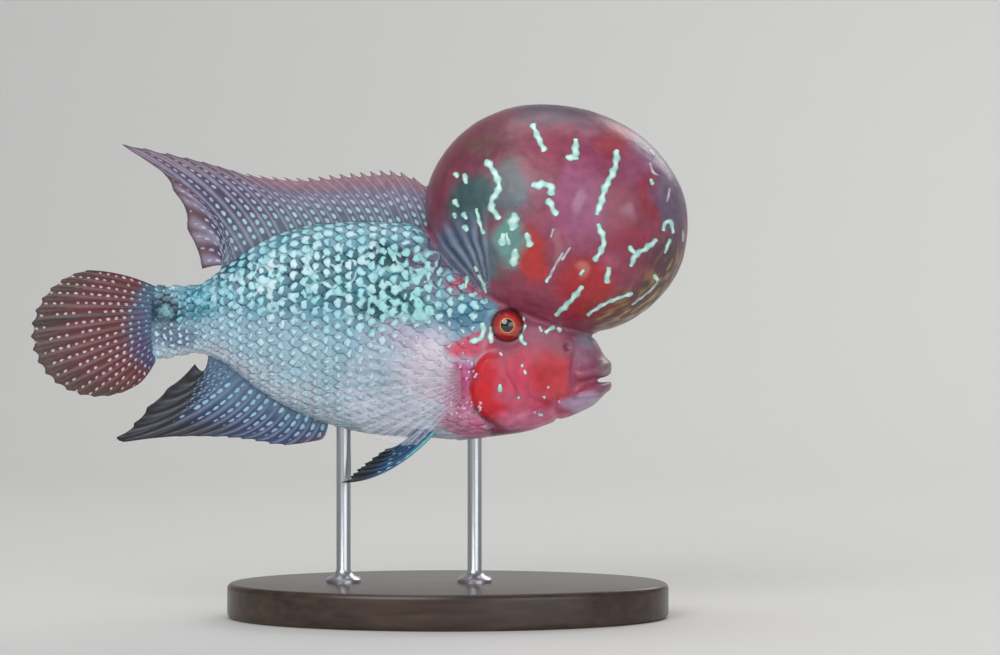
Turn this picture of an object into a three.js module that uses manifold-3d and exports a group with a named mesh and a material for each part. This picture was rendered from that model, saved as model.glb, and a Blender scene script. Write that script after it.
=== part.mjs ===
// A flowerhorn cichlid, life size, swimming level on a small display stand.
// Millimetres, +Z up. The head points along +X, the fish's left side is +Y,
// and the origin is the middle of the stand's underside.
import * as THREE from 'three';
import { mergeVertices } from 'three/addons/utils/BufferGeometryUtils.js';
import Module from 'manifold-3d';

const wasm = await Module();
wasm.setup();

// Driving sizes. Heights count from a level under the fish; the stand's underside is floorLevel above it,
// and the whole group is let down by floorLevel at the end.
const gap = 0.3;
const floorLevel = 4;
const base = { length: 76, width: 48, height: 6, edge: 0.8 };
const rod = { radius: 1.25, foot: 3, footHeight: 1.6, places: [-18, 4.6] };

// The body without its fins: the back, the belly and half the width at each place along it.
const body = [
  { x: -51.4, back: 61.4, belly: 47.6, half: 1.0 },
  { x: -47.0, back: 61.4, belly: 48.6, half: 2.0 },
  { x: -42.5, back: 61.7, belly: 49.2, half: 3.1 },
  { x: -38.0, back: 64.8, belly: 47.2, half: 4.3 },
  { x: -32.0, back: 68.9, belly: 42.6, half: 5.7 },
  { x: -25.0, back: 71.3, belly: 38.8, half: 7.0 },
  { x: -15.0, back: 72.2, belly: 35.7, half: 8.2 },
  { x: -5.0, back: 71.6, belly: 34.8, half: 8.7 },
  { x: 4.0, back: 69.8, belly: 34.4, half: 8.6 },
  { x: 12.0, back: 64.8, belly: 35.8, half: 8.2 },
  { x: 18.5, back: 59.6, belly: 37.5, half: 7.2 },
  { x: 23.0, back: 55.4, belly: 39.1, half: 5.6 },
  { x: 25.6, back: 51.8, belly: 40.6, half: 4.3 },
  { x: 27.2, back: 48.8, belly: 42.4, half: 2.9 },
];
const bodyTurn = 24;
const bodyRings = 32;
const sectionPower = 2.15;

// The nuchal hump: a ball that leans forward and is a little fuller in front.
const hump = {
  centre: new THREE.Vector3(18.7, 0, 72.5),
  length: 23.0,
  height: 19.8,
  width: 15.6,
  lean: 0.25,
  power: 2.05,
  narrowing: 0.06,
};

const eye = { radius: 2.9, x: 10.2, z: 54.2, out: 6.4 };
const nostril = { radius: 0.55, x: 20.4, z: 50.6, depth: 1.0 };
const gillCover = { x: 11.6, z: 43.8, length: 7.5, height: 7.2, thin: 0.55, thick: 1.3 };
const gillSlit = { radius: 15.5, x: 19.4, z: 44.6 };
const mouth = { cornerX: 21.8, cornerZ: 43.9, frontX: 29.5, frontZ: 45.6, opening: 1.1 };
const jawRoot = { upperX: 21.5, lowerX: 18.0 };
const lip = { radius: 1.25, front: 27.0, thinning: 0.45 };

const materials = {
  flank: new THREE.MeshStandardMaterial({ color: 0x8fb4bb, roughness: 0.45, metalness: 0.1 }),
  hump: new THREE.MeshStandardMaterial({ color: 0x8a3442, roughness: 0.35, metalness: 0 }),
  cheek: new THREE.MeshStandardMaterial({ color: 0xc4283a, roughness: 0.3, metalness: 0 }),
  lips: new THREE.MeshStandardMaterial({ color: 0xa87a8e, roughness: 0.35, metalness: 0 }),
  fin: new THREE.MeshStandardMaterial({ color: 0x4c5470, roughness: 0.45, metalness: 0.05 }),
  tailFin: new THREE.MeshStandardMaterial({ color: 0x6e2f35, roughness: 0.45, metalness: 0 }),
  breastFin: new THREE.MeshStandardMaterial({ color: 0xc9bcc6, roughness: 0.35, metalness: 0 }),
  eye: new THREE.MeshStandardMaterial({ color: 0xb0222a, roughness: 0.1, metalness: 0 }),
  wood: new THREE.MeshStandardMaterial({ color: 0x2a211c, roughness: 0.4, metalness: 0 }),
  steel: new THREE.MeshStandardMaterial({ color: 0x9a9ca0, roughness: 0.3, metalness: 1 }),
};

const fish = new THREE.Group();

// A smooth value between the places of a list, from the slopes of its neighbours.
function along(list, key, x) {
  const last = list.length - 1;
  let i = list.findIndex((p, n) => n > 0 && x <= p.x);
  if (i < 0) i = last;
  const [p, q] = [list[i - 1], list[i]];
  const slope = (a, b) => (b[key] - a[key]) / (b.x - a.x);
  const middle = slope(p, q);
  const before = i > 1 ? (slope(list[i - 2], p) + middle) / 2 : middle;
  const after = i < last ? (slope(q, list[i + 1]) + middle) / 2 : middle;
  const width = q.x - p.x;
  const t = THREE.MathUtils.clamp((x - p.x) / width, 0, 1);
  const rise = (t ** 3 - 2 * t ** 2 + t) * before + (t ** 3 - t ** 2) * after;
  const blend = t * t * (3 - 2 * t);
  return p[key] * (1 - blend) + q[key] * blend + rise * width;
}

const power = (v, p) => Math.sign(v) * Math.abs(v) ** p;

// A closed surface through rings that all turn the same way.
function throughRings(rings) {
  const around = rings[0].length;
  const place = rings.flat().flatMap((p) => [p.x, p.y, p.z]);
  const index = [];
  for (let i = 0; i + 1 < rings.length; i++)
    for (let j = 0; j < around; j++) {
      const a = i * around + j;
      const b = i * around + ((j + 1) % around);
      index.push(a, b, a + around, b, b + around, a + around);
    }
  for (const [ring, first] of [[rings[0], true], [rings.at(-1), false]]) {
    const middle = ring.reduce((s, p) => s.add(p), new THREE.Vector3()).divideScalar(around);
    const tip = place.length / 3;
    place.push(middle.x, middle.y, middle.z);
    const start = first ? 0 : (rings.length - 1) * around;
    for (let j = 0; j < around; j++) {
      const a = start + j;
      const b = start + ((j + 1) % around);
      index.push(...(first ? [b, a, tip] : [a, b, tip]));
    }
  }
  const g = new THREE.BufferGeometry();
  g.setAttribute('position', new THREE.Float32BufferAttribute(place, 3));
  g.setIndex(index);
  return facingOut(g);
}

// The same closed surface, turned round if its faces point inwards.
function facingOut(g) {
  const { position } = g.attributes;
  const at = (i) => new THREE.Vector3().fromBufferAttribute(position, i);
  const index = Array.from(g.index.array);
  let volume = 0;
  for (let i = 0; i < index.length; i += 3)
    volume += at(index[i]).dot(at(index[i + 1]).cross(at(index[i + 2])));
  if (volume < 0) index.reverse();
  g.setIndex(index);
  return g;
}

// Every point of a surface moved out along its normal.
function swollen(geometry, by) {
  const g = geometry.clone();
  g.computeVertexNormals();
  const { position, normal } = g.attributes;
  for (let i = 0; i < position.count; i++) {
    const p = new THREE.Vector3().fromBufferAttribute(position, i);
    const out = typeof by === 'function' ? by(p) : by;
    p.addScaledVector(new THREE.Vector3().fromBufferAttribute(normal, i), out);
    position.setXYZ(i, p.x, p.y, p.z);
  }
  return g;
}

function solid(geometry) {
  const bare = geometry.index ? geometry.toNonIndexed() : geometry.clone();
  bare.deleteAttribute('normal');
  bare.deleteAttribute('uv');
  const merged = facingOut(mergeVertices(bare, 1e-4));
  return new wasm.Manifold(new wasm.Mesh({
    numProp: 3,
    vertProperties: merged.attributes.position.array,
    triVerts: new Uint32Array(merged.index.array),
  }));
}

function addNode(name, made, material) {
  const bodies = made.decompose().sort((a, b) => b.volume() - a.volume());
  const { vertProperties, triVerts } = bodies[0].getMesh();
  const g = new THREE.BufferGeometry();
  g.setAttribute('position', new THREE.BufferAttribute(new Float32Array(vertProperties), 3));
  g.setIndex(new THREE.BufferAttribute(new Uint32Array(triVerts), 1));
  g.computeVertexNormals();
  const mesh = new THREE.Mesh(g, material);
  mesh.name = name;
  fish.add(mesh);
}

// A flat outline in X and Z, as thick as the fish and more.
function slab(points, width = 60) {
  const shape = new THREE.Shape(points.map(([x, z]) => new THREE.Vector2(x, z)));
  const g = new THREE.ExtrudeGeometry(shape, { depth: width, bevelEnabled: false });
  g.rotateX(Math.PI / 2);
  g.translate(0, width / 2, 0);
  return solid(g);
}

function roundSlab(x, z, radiusX, radiusZ, width = 60) {
  const points = [];
  for (let i = 0; i < 28; i++) {
    const a = (i / 28) * 2 * Math.PI;
    points.push([x + radiusX * Math.cos(a), z + radiusZ * Math.sin(a)]);
  }
  return slab(points, width);
}

// Flesh
function bodySurface() {
  const from = body[0].x;
  const to = body.at(-1).x;
  const rings = [];
  for (let i = 0; i <= bodyRings; i++) {
    const x = from + (to - from) * Math.sin((i / bodyRings) * (Math.PI / 2)) ** 1.15;
    const back = along(body, 'back', x);
    const belly = along(body, 'belly', x);
    const half = along(body, 'half', x);
    const ring = [];
    for (let j = 0; j < bodyTurn; j++) {
      const a = (j / bodyTurn) * 2 * Math.PI;
      const up = power(Math.cos(a), 2 / sectionPower);
      const side = power(Math.sin(a), 2 / sectionPower);
      ring.push(new THREE.Vector3(x, half * side, (back + belly) / 2 + ((back - belly) / 2) * up));
    }
    rings.push(ring);
  }
  const end = rings.at(-1);
  const middle = end.reduce((s, p) => s.add(p), new THREE.Vector3()).divideScalar(bodyTurn);
  for (const [forward, share] of [[0.6, 0.72], [0.95, 0.4]])
    rings.push(end.map((p) => {
      const q = p.clone().sub(middle).multiplyScalar(share).add(middle);
      q.x += forward;
      return q;
    }));
  return throughRings(rings);
}

function humpSurface() {
  const g = new THREE.SphereGeometry(1, 32, 20);
  g.rotateX(Math.PI / 2);
  const { position } = g.attributes;
  const turn = new THREE.Euler(0, hump.lean, 0);
  for (let i = 0; i < position.count; i++) {
    const d = new THREE.Vector3().fromBufferAttribute(position, i).normalize();
    const sum = [d.x, d.y, d.z].reduce((s, v) => s + Math.abs(v) ** hump.power, 0);
    const p = d.divideScalar(sum ** (1 / hump.power));
    const width = hump.width * (1 + hump.narrowing * p.z);
    const q = new THREE.Vector3(p.x * hump.length, p.y * width, p.z * hump.height);
    q.applyEuler(turn).add(hump.centre);
    position.setXYZ(i, q.x, q.y, q.z);
  }
  g.deleteAttribute('normal');
  g.deleteAttribute('uv');
  return facingOut(mergeVertices(g, 1e-4));
}

const bodyShape = bodySurface();
const humpShape = humpSurface();
const bodySolid = solid(bodyShape);
const humpSolid = solid(humpShape);
const humpRoom = solid(swollen(humpShape, gap));
const bodyRoom = solid(swollen(bodyShape, gap));

function ball(radius, x, y, z, turn = 16) {
  const g = new THREE.SphereGeometry(radius, turn, Math.round(turn * 0.7));
  g.rotateX(Math.PI / 2);
  g.translate(x, y, z);
  return solid(g);
}

const eyeRooms = ball(eye.radius + gap, eye.x, eye.out, eye.z)
  .add(ball(eye.radius + gap, eye.x, -eye.out, eye.z));

function nostrilPit(side) {
  const half = along(body, 'half', nostril.x);
  const g = new THREE.SphereGeometry(nostril.radius, 10, 8);
  g.scale(1, nostril.depth / nostril.radius, 1);
  g.translate(nostril.x, side * half * 0.93, nostril.z);
  return solid(g);
}

const below = body[0].x - 30;
const above = hump.centre.x + 60;
const slitArc = (x, wide) => {
  const points = [];
  for (let i = 0; i <= 16; i++) {
    const a = Math.PI * (0.5 + i / 16);
    points.push([x + gillSlit.radius * Math.cos(a), gillSlit.z + 22 * Math.sin(a)]);
  }
  points.push([x + wide, gillSlit.z - 22], [x + wide, gillSlit.z + 22]);
  return slab(points);
};
const headSpace = slitArc(gillSlit.x, 60);
const headRoom = slitArc(gillSlit.x - gap, 60);
const tailSpace = slab([[below, 0], [-39.5, 0], [-39.5, 100], [below, 100]]);
const tailRoom = slab([[below, 0], [-39.5 + gap, 0], [-39.5 + gap, 100], [below, 100]]);

const upperSide = [
  [jawRoot.upperX, mouth.cornerZ + 0.2],
  [mouth.frontX, mouth.frontZ + mouth.opening / 2],
  [mouth.frontX, 62],
  [jawRoot.upperX, 62],
];
const lowerSide = [
  [jawRoot.lowerX, 30],
  [mouth.frontX, 30],
  [mouth.frontX, mouth.frontZ - mouth.opening / 2],
  [mouth.cornerX, mouth.cornerZ - 0.2],
  [jawRoot.lowerX, mouth.cornerZ - 2.6],
];
const grown = (points, dx, dz) => points.map(([x, z], i) => [
  x + (x < mouth.cornerX + 0.5 ? dx : 0),
  z + (z < 60 && i < points.length ? dz : 0),
]);

// A lip: a tube round the snout that thins towards the corners of the mouth.
function lipTube(z, radius) {
  const rings = [];
  const steps = 14;
  for (let i = 0; i <= steps; i++) {
    const t = -1 + (2 * i) / steps;
    const a = (t * Math.PI) / 2;
    const half = along(body, 'half', mouth.cornerX) - 0.5;
    const middle = new THREE.Vector3(
      mouth.cornerX + (lip.front - mouth.cornerX) * Math.cos(a) ** 0.8,
      half * Math.sin(a),
      z(Math.abs(t)),
    );
    const outward = new THREE.Vector3(Math.cos(a), Math.sin(a), 0);
    const r = radius * (1 - lip.thinning * Math.abs(t) ** 3);
    const ring = [];
    for (let j = 0; j < 8; j++) {
      const b = (j / 8) * 2 * Math.PI;
      const p = middle.clone().addScaledVector(outward, r * Math.cos(b));
      p.z += r * Math.sin(b);
      ring.push(p);
    }
    rings.push(ring);
  }
  return solid(throughRings(rings));
}

const mouthRise = (t) => THREE.MathUtils.lerp(mouth.frontZ, mouth.cornerZ, t ** 2);
const upperLip = lipTube((t) => mouthRise(t) + mouth.opening / 2 + lip.radius * 0.85, lip.radius);
const lowerLip = lipTube((t) => mouthRise(t) - mouth.opening / 2 - lip.radius * 0.9, lip.radius * 1.05);

const flesh = bodySolid.subtract(humpRoom).subtract(eyeRooms);
const upperSpace = slab(upperSide);
const lowerSpace = slab(lowerSide);
const upperJaw = flesh.intersect(upperSpace).add(upperLip.intersect(upperSpace))
  .subtract(humpRoom);
const lowerJaw = flesh.intersect(lowerSpace).add(lowerLip.intersect(lowerSpace));
const jawRooms = slab(grown(upperSide, -gap, -gap)).add(slab(grown(lowerSide, -gap, gap)));
const mouthGap = slab([
  [mouth.cornerX - 0.3, mouth.cornerZ],
  [mouth.frontX, mouth.frontZ - mouth.opening],
  [mouth.frontX, mouth.frontZ + mouth.opening],
]);

const head = flesh.intersect(headSpace).subtract(jawRooms).subtract(mouthGap)
  .subtract(nostrilPit(1)).subtract(nostrilPit(-1));
const trunk = flesh.subtract(headRoom).subtract(tailRoom);
const tailStalk = bodySolid.intersect(tailSpace);

addNode('trunk', trunk, materials.flank);
addNode('tail_stalk', tailStalk, materials.flank);
addNode('head', head, materials.cheek);
addNode('nuchal_hump', humpSolid.subtract(eyeRooms), materials.hump);
addNode('upper_jaw', upperJaw.subtract(nostrilPit(1)).subtract(nostrilPit(-1)), materials.lips);
addNode('lower_jaw', lowerJaw, materials.lips);

// A gill cover: a plate over the cheek that is thickest at its free hind edge.
const plateOut = (p) => {
  const t = THREE.MathUtils.clamp(
    (gillCover.x + gillCover.length - p.x) / (2 * gillCover.length), 0, 1);
  return gap + THREE.MathUtils.lerp(gillCover.thin, gillCover.thick, t ** 1.5);
};
const plates = solid(swollen(bodyShape, plateOut))
  .intersect(roundSlab(gillCover.x, gillCover.z, gillCover.length, gillCover.height))
  .subtract(bodyRoom)
  .subtract(humpRoom)
  .subtract(ball(eye.radius + 2 * gap, eye.x, eye.out, eye.z))
  .subtract(ball(eye.radius + 2 * gap, eye.x, -eye.out, eye.z));
for (const [side, sign] of [['left', 1], ['right', -1]]) {
  const half = new THREE.BoxGeometry(40, 30, 40);
  half.translate(gillCover.x, sign * (15 + 1.5), gillCover.z);
  addNode(`gill_cover_${side}`, plates.intersect(solid(half)), materials.cheek);
  addNode(`eye_${side}`, ball(eye.radius, eye.x, sign * eye.out, eye.z), materials.eye);
}

// A fin: a membrane whose rays stand up from both faces, from a root line to a tip line.
function fin({ rays, rows, root, tip, bow, across, sway, rootHalf, edgeHalf, web, notch, plain }) {
  const columns = rays * 2 - 1;
  const front = [];
  const behind = [];
  for (let i = 0; i < columns; i++) {
    const s = i / (columns - 1);
    const ray = i % 2 === 0;
    const from = root(s);
    const to = tip(s);
    for (let j = 0; j <= rows; j++) {
      const t = (j / rows) * (ray ? 1 : 1 - notch(s));
      const p = from.clone().lerp(to, t);
      p.addScaledVector(bow(s), 4 * t * (1 - t));
      p.addScaledVector(across, sway(s, t));
      const thick = THREE.MathUtils.lerp(rootHalf, edgeHalf, t) * (ray || plain ? 1 : web);
      front.push(p.clone().addScaledVector(across, thick));
      behind.push(p.clone().addScaledVector(across, -thick));
    }
  }
  const index = [];
  const at = (i, j) => i * (rows + 1) + j;
  const back = front.length;
  for (let i = 0; i + 1 < columns; i++)
    for (let j = 0; j < rows; j++) {
      const [a, b, c, d] = [at(i, j), at(i + 1, j), at(i + 1, j + 1), at(i, j + 1)];
      index.push(a, b, c, a, c, d);
      index.push(c + back, b + back, a + back, d + back, c + back, a + back);
    }
  const edge = [];
  for (let i = 0; i < columns; i++) edge.push(at(i, 0));
  for (let j = 1; j <= rows; j++) edge.push(at(columns - 1, j));
  for (let i = columns - 2; i >= 0; i--) edge.push(at(i, rows));
  for (let j = rows - 1; j > 0; j--) edge.push(at(0, j));
  edge.forEach((a, n) => {
    const b = edge[(n + 1) % edge.length];
    index.push(b, a, a + back, b, a + back, b + back);
  });
  const g = new THREE.BufferGeometry();
  const place = [...front, ...behind].flatMap((p) => [p.x, p.y, p.z]);
  g.setAttribute('position', new THREE.Float32BufferAttribute(place, 3));
  g.setIndex(index);
  return solid(g);
}

// A smooth line through a few points, each at its own share of the way.
function lineThrough(stops) {
  return (s) => {
    const list = stops.map(([x, px, pz]) => ({ x, px, pz }));
    return new THREE.Vector3(along(list, 'px', s), 0, along(list, 'pz', s));
  };
}

const sideways = new THREE.Vector3(0, 1, 0);
const sunk = 1.4;
const backRoot = (from, to) => (s) => {
  const x = THREE.MathUtils.lerp(from, to, s);
  return new THREE.Vector3(x, 0, along(body, 'back', x) - sunk);
};
const bellyRoot = (from, to) => (s) => {
  const x = THREE.MathUtils.lerp(from, to, s);
  return new THREE.Vector3(x, 0, along(body, 'belly', x) + sunk);
};

const dorsalTips = lineThrough([
  [0, -3.6, 78.4], [0.06, -7.4, 80.5], [0.25, -16.5, 80.6], [0.45, -26.5, 79.7],
  [0.6, -35.4, 80.6], [0.72, -43.5, 82.8], [0.8, -50.5, 84.4], [0.86, -56.3, 85.3],
  [0.9, -50.2, 81.2], [0.94, -46.2, 75.2], [0.97, -44.6, 69.6], [1, -42.4, 64.0],
]);
const dorsal = fin({
  rays: 28, rows: 5,
  root: backRoot(0.5, -41.0),
  tip: dorsalTips,
  bow: (s) => new THREE.Vector3(0.5 + 2.4 * s * s, 0, 0.4 + 1.2 * s * s),
  across: sideways,
  sway: (s, t) => 0.7 * t * t * Math.sin(9 * s) * s,
  rootHalf: 0.75, edgeHalf: 0.36, web: 0.62,
  notch: (s) => (s < 0.62 ? 0.09 : 0.03),
});
addNode('dorsal_fin', dorsal.subtract(bodyRoom).subtract(humpRoom), materials.fin);

const analTips = lineThrough([
  [0, -22.6, 34.4], [0.12, -28.0, 33.6], [0.3, -35.2, 34.6], [0.48, -42.4, 35.1],
  [0.62, -49.5, 34.9], [0.72, -57.6, 34.2], [0.8, -54.6, 36.9], [0.88, -51.6, 40.4],
  [0.95, -47.4, 44.2], [1, -43.6, 47.6],
]);
const anal = fin({
  rays: 17, rows: 5,
  root: bellyRoot(-20.6, -41.2),
  tip: analTips,
  bow: (s) => new THREE.Vector3(0.4, 0, -1.0 - 1.2 * s),
  across: sideways,
  sway: (s, t) => -0.6 * t * t * Math.sin(7 * s) * s,
  rootHalf: 0.75, edgeHalf: 0.36, web: 0.62,
  notch: (s) => (s < 0.45 ? 0.09 : 0.03),
});
addNode('anal_fin', anal.subtract(bodyRoom), materials.fin);

const tailFan = { x: -60.4, z: 52.9, length: 11.6, height: 11.0, from: 1.72, to: 5.3 };
const caudal = fin({
  rays: 18, rows: 5,
  root: (s) => new THREE.Vector3(body[0].x + 1.2, 0, THREE.MathUtils.lerp(61.0, 48.0, s)),
  tip: (s) => {
    const a = THREE.MathUtils.lerp(tailFan.from, tailFan.to, s);
    return new THREE.Vector3(
      tailFan.x + tailFan.length * Math.cos(a), 0, tailFan.z + tailFan.height * Math.sin(a));
  },
  bow: (s) => new THREE.Vector3(-1.4 * Math.sin(Math.PI * s) * s, 0, 1.3 * (0.5 - s)),
  across: sideways,
  sway: (s, t) => 0.5 * t * Math.sin(6.3 * s),
  rootHalf: 0.8, edgeHalf: 0.34, web: 0.62,
  notch: () => 0.02,
});
addNode('caudal_fin', caudal.subtract(bodyRoom), materials.tailFin);

// Paired fins
const breast = {
  x: 1.6, z: 44.4, rootHeight: 4.6, length: 20.5, spread: 1.0, droop: 0.28, out: 0.2,
};
const hip = { x: -1.0, z: 35.4, rootLength: 4.0, length: 19.0, droop: 0.46, out: 0.24, side: 2.8 };
for (const [side, sign] of [['left', 1], ['right', -1]]) {
  const across = new THREE.Vector3(breast.out, sign, 0).normalize();
  const half = along(body, 'half', breast.x);
  const breastFin = fin({
    rays: 12, rows: 5,
    root: (s) => new THREE.Vector3(
      breast.x + 0.9, sign * (half - 0.55), breast.z + (0.5 - s) * breast.rootHeight),
    tip: (s) => {
      const a = breast.droop + (s - 0.5) * 2 * breast.spread * 0.72;
      const reach = breast.length * (1 - 0.34 * Math.abs(s - 0.36) ** 1.2 * 2);
      return new THREE.Vector3(
        breast.x - reach * Math.cos(a),
        sign * (half + 0.8 + reach * breast.out),
        breast.z - reach * Math.sin(a));
    },
    bow: () => new THREE.Vector3(0, sign * 0.9, 0),
    across,
    sway: (s, t) => 0.25 * t * Math.sin(8 * s),
    rootHalf: 0.55, edgeHalf: 0.3, web: 0.85,
    notch: () => 0.02,
  });
  addNode(`pectoral_fin_${side}`, breastFin.subtract(bodyRoom), materials.breastFin);

  const hipFin = fin({
    rays: 6, rows: 5,
    root: (s) => new THREE.Vector3(
      hip.x - s * hip.rootLength, sign * (hip.side + 0.5 * s), hip.z + 1.6),
    tip: (s) => {
      const a = hip.droop - s * 0.1;
      const reach = hip.length * (1 - 0.5 * s ** 0.8);
      return new THREE.Vector3(
        hip.x - s * 1.2 - reach * Math.cos(a),
        sign * (hip.side + reach * hip.out + s * 1.4),
        hip.z + 0.6 - reach * Math.sin(a));
    },
    bow: (s) => new THREE.Vector3(0, 0, -2.5 + 1.5 * s),
    across: new THREE.Vector3(0.2, sign, 0.35).normalize(),
    sway: () => 0,
    rootHalf: 0.6, edgeHalf: 0.32, web: 0.7,
    notch: () => 0.06,
  });
  addNode(`pelvic_fin_${side}`, hipFin.subtract(bodyRoom), materials.fin);
}

// Stand
function standBase() {
  const outline = new THREE.Shape();
  outline.absellipse(0, 0, base.length / 2 - base.edge, base.width / 2 - base.edge, 0, 2 * Math.PI);
  const g = new THREE.ExtrudeGeometry(outline, {
    depth: base.height - 2 * base.edge,
    bevelThickness: base.edge,
    bevelSize: base.edge,
    bevelSegments: 2,
    curveSegments: 20,
  });
  g.translate(0, 0, floorLevel + base.edge);
  return solid(g);
}

function standRod(x) {
  const top = along(body, 'belly', x) + 3;
  const foot = floorLevel + base.height;
  const profile = [
    [0, foot],
    [rod.foot, foot],
    [rod.foot, foot + rod.footHeight / 2],
    [rod.radius + 0.5, foot + rod.footHeight],
    [rod.radius, foot + rod.footHeight + 0.4],
    [rod.radius, top],
    [0, top],
  ].map(([r, z]) => new THREE.Vector2(r, z));
  const g = new THREE.LatheGeometry(profile, 12);
  g.rotateX(Math.PI / 2);
  g.translate(x, 0, 0);
  return solid(g);
}

addNode('stand_base', standBase(), materials.wood);
rod.places.forEach((x, i) => {
  addNode(`stand_rod_${i + 1}`, standRod(x).subtract(bodyRoom), materials.steel);
});

fish.position.z = -floorLevel;

export default fish;
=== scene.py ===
import math
import random
import bmesh
import bpy
import numpy as np
from mathutils import Matrix, Vector, noise
from mathutils.bvhtree import BVHTree


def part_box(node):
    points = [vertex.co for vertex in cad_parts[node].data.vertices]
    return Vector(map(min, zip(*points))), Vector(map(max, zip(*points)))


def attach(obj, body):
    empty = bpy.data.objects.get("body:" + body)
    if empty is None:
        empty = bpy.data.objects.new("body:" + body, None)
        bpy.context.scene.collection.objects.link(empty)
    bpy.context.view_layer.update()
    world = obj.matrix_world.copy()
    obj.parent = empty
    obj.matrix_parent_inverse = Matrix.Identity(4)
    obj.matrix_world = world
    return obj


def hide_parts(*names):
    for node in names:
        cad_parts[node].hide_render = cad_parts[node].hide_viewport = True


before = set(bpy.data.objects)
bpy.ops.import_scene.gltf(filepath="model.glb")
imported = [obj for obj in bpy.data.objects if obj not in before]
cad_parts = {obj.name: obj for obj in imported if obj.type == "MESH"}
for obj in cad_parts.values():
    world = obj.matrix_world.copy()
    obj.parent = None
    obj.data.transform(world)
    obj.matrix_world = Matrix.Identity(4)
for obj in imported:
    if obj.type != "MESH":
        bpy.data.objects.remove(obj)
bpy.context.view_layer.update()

# Lengths are in millimetres until a piece is finished
millimetre = 0.001
floorLevel = 4.0  # heights here count from this far under the floor
pictureScale = 5.8  # pixels of the 1000 x 655 picture to a millimetre at the fish's middle
pictureWidth = 1000
pictureMiddle = (500.0, 327.5)
pictureZero = (448.0, 640.0)  # the pixel at x = 0 and height 0

bodyTable = np.array([
    # x, back, belly, half the width
    (-51.4, 61.4, 47.6, 1.0),
    (-47.0, 61.4, 48.6, 2.0),
    (-42.5, 61.7, 49.2, 3.1),
    (-38.0, 64.8, 47.2, 4.3),
    (-32.0, 68.9, 42.6, 5.7),
    (-25.0, 71.3, 38.8, 7.0),
    (-15.0, 72.2, 35.7, 8.2),
    (-5.0, 71.6, 34.8, 8.7),
    (4.0, 69.8, 34.4, 8.6),
    (12.0, 64.8, 35.8, 8.2),
    (18.5, 59.6, 37.5, 7.2),
    (23.0, 55.4, 39.1, 5.6),
    (25.6, 51.8, 40.6, 4.3),
    (27.2, 48.8, 42.4, 2.9),
])
body = {
    "x": bodyTable[:, 0], "back": bodyTable[:, 1], "belly": bodyTable[:, 2],
    "half": bodyTable[:, 3], "power": 2.15, "coat": 0.25,
    "snout": ((0.35, 0.86), (0.6, 0.72), (0.95, 0.4)),  # steps forward and sizes of its round end
}
hump = {
    "centre": (18.7, 0.0, 72.5), "length": 23.0, "height": 19.8, "width": 15.6,
    "lean": 0.25, "power": 2.05, "narrowing": 0.06,
}
eye = {"x": 10.2, "z": 54.2, "radius": 3.1, "out": 6.6, "opening": 2.65, "rim": 0.3, "socket": 1.4}
nostril = {"x": 20.4, "z": 50.6, "ring": 0.85, "rim": 0.14, "pit": 0.45, "depth": 0.7}
gill = {"x": 11.6, "z": 43.8, "length": 7.5, "height": 7.2, "raise": 1.05, "groove": 0.4}
slit = {"x": 19.4, "z": 44.6, "reach": 15.5, "height": 22.0}
mouth = {"cornerX": 21.8, "cornerZ": 43.9, "frontX": 29.5, "frontZ": 45.6, "opening": 1.1}
lip = {"radius": 1.3, "front": 27.0, "thinning": 0.45, "steps": 48, "around": 24}


def smoothStep(low, high, value):
    t = np.clip((np.asarray(value, float) - low) / (high - low), 0, 1)
    return t * t * (3 - 2 * t)


def hill(away, width):  # 1 in the middle, less on both sides
    return np.exp(-((away / width) ** 2))


def along(xs, ys, x):  # the smooth line through a few sizes
    xs, ys, x = np.asarray(xs, float), np.asarray(ys, float), np.asarray(x, float)
    secant = np.diff(ys) / np.diff(xs)
    slope = np.concatenate([secant[:1], (secant[1:] + secant[:-1]) / 2, secant[-1:]])
    i = np.clip(np.searchsorted(xs, x, side="left") - 1, 0, len(xs) - 2)
    width = xs[i + 1] - xs[i]
    t = np.clip((x - xs[i]) / width, 0, 1)
    rise = (t**3 - 2 * t**2 + t) * slope[i] + (t**3 - t**2) * slope[i + 1]
    blend = t * t * (3 - 2 * t)
    return ys[i] * (1 - blend) + ys[i + 1] * blend + rise * width


def bodySize(x, key):
    return along(body["x"], body[key], x)


def signedPower(v, p):
    return np.sign(v) * np.abs(v) ** p


def sectionPoint(x, angle, inset=0.0):  # angle 0 is the back, and it grows towards +Y
    back, belly = bodySize(x, "back") - inset, bodySize(x, "belly") + inset
    half = np.maximum(bodySize(x, "half") - inset, 0.3)
    up = signedPower(np.cos(angle), 2 / body["power"])
    side = signedPower(np.sin(angle), 2 / body["power"])
    return half * side, (back + belly) / 2 + (back - belly) / 2 * up


def humpShare(p):  # 1 on the hump's surface, less inside it
    d = np.asarray(p, float) - hump["centre"]
    c, s = math.cos(hump["lean"]), math.sin(hump["lean"])
    u = (d[:, 0] * c - d[:, 2] * s) / hump["length"]
    w = (d[:, 0] * s + d[:, 2] * c) / hump["height"]
    v = d[:, 1] / (hump["width"] * (1 + hump["narrowing"] * w))
    n = hump["power"]
    return (np.abs(u) ** n + np.abs(v) ** n + np.abs(w) ** n) ** (1 / n)


def bodyShare(p):
    back, belly = bodySize(p[:, 0], "back"), bodySize(p[:, 0], "belly")
    w = (p[:, 2] - (back + belly) / 2) / ((back - belly) / 2)
    v = p[:, 1] / bodySize(p[:, 0], "half")
    n = body["power"]
    return (np.abs(v) ** n + np.abs(w) ** n) ** (1 / n)


def fromPicture(px, py):
    return (px - pictureZero[0]) / pictureScale, (pictureZero[1] - py) / pictureScale


def gillShare(x, z):  # 1 on the gill cover's outline
    return np.hypot((x - gill["x"]) / gill["length"], (z - gill["z"]) / gill["height"])


def slitAt(z):  # how far back the bare skin of the head reaches
    rise = (z - slit["z"]) / slit["height"]
    return slit["x"] - slit["reach"] * np.sqrt(np.clip(1 - rise**2, 0, 1))


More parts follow.
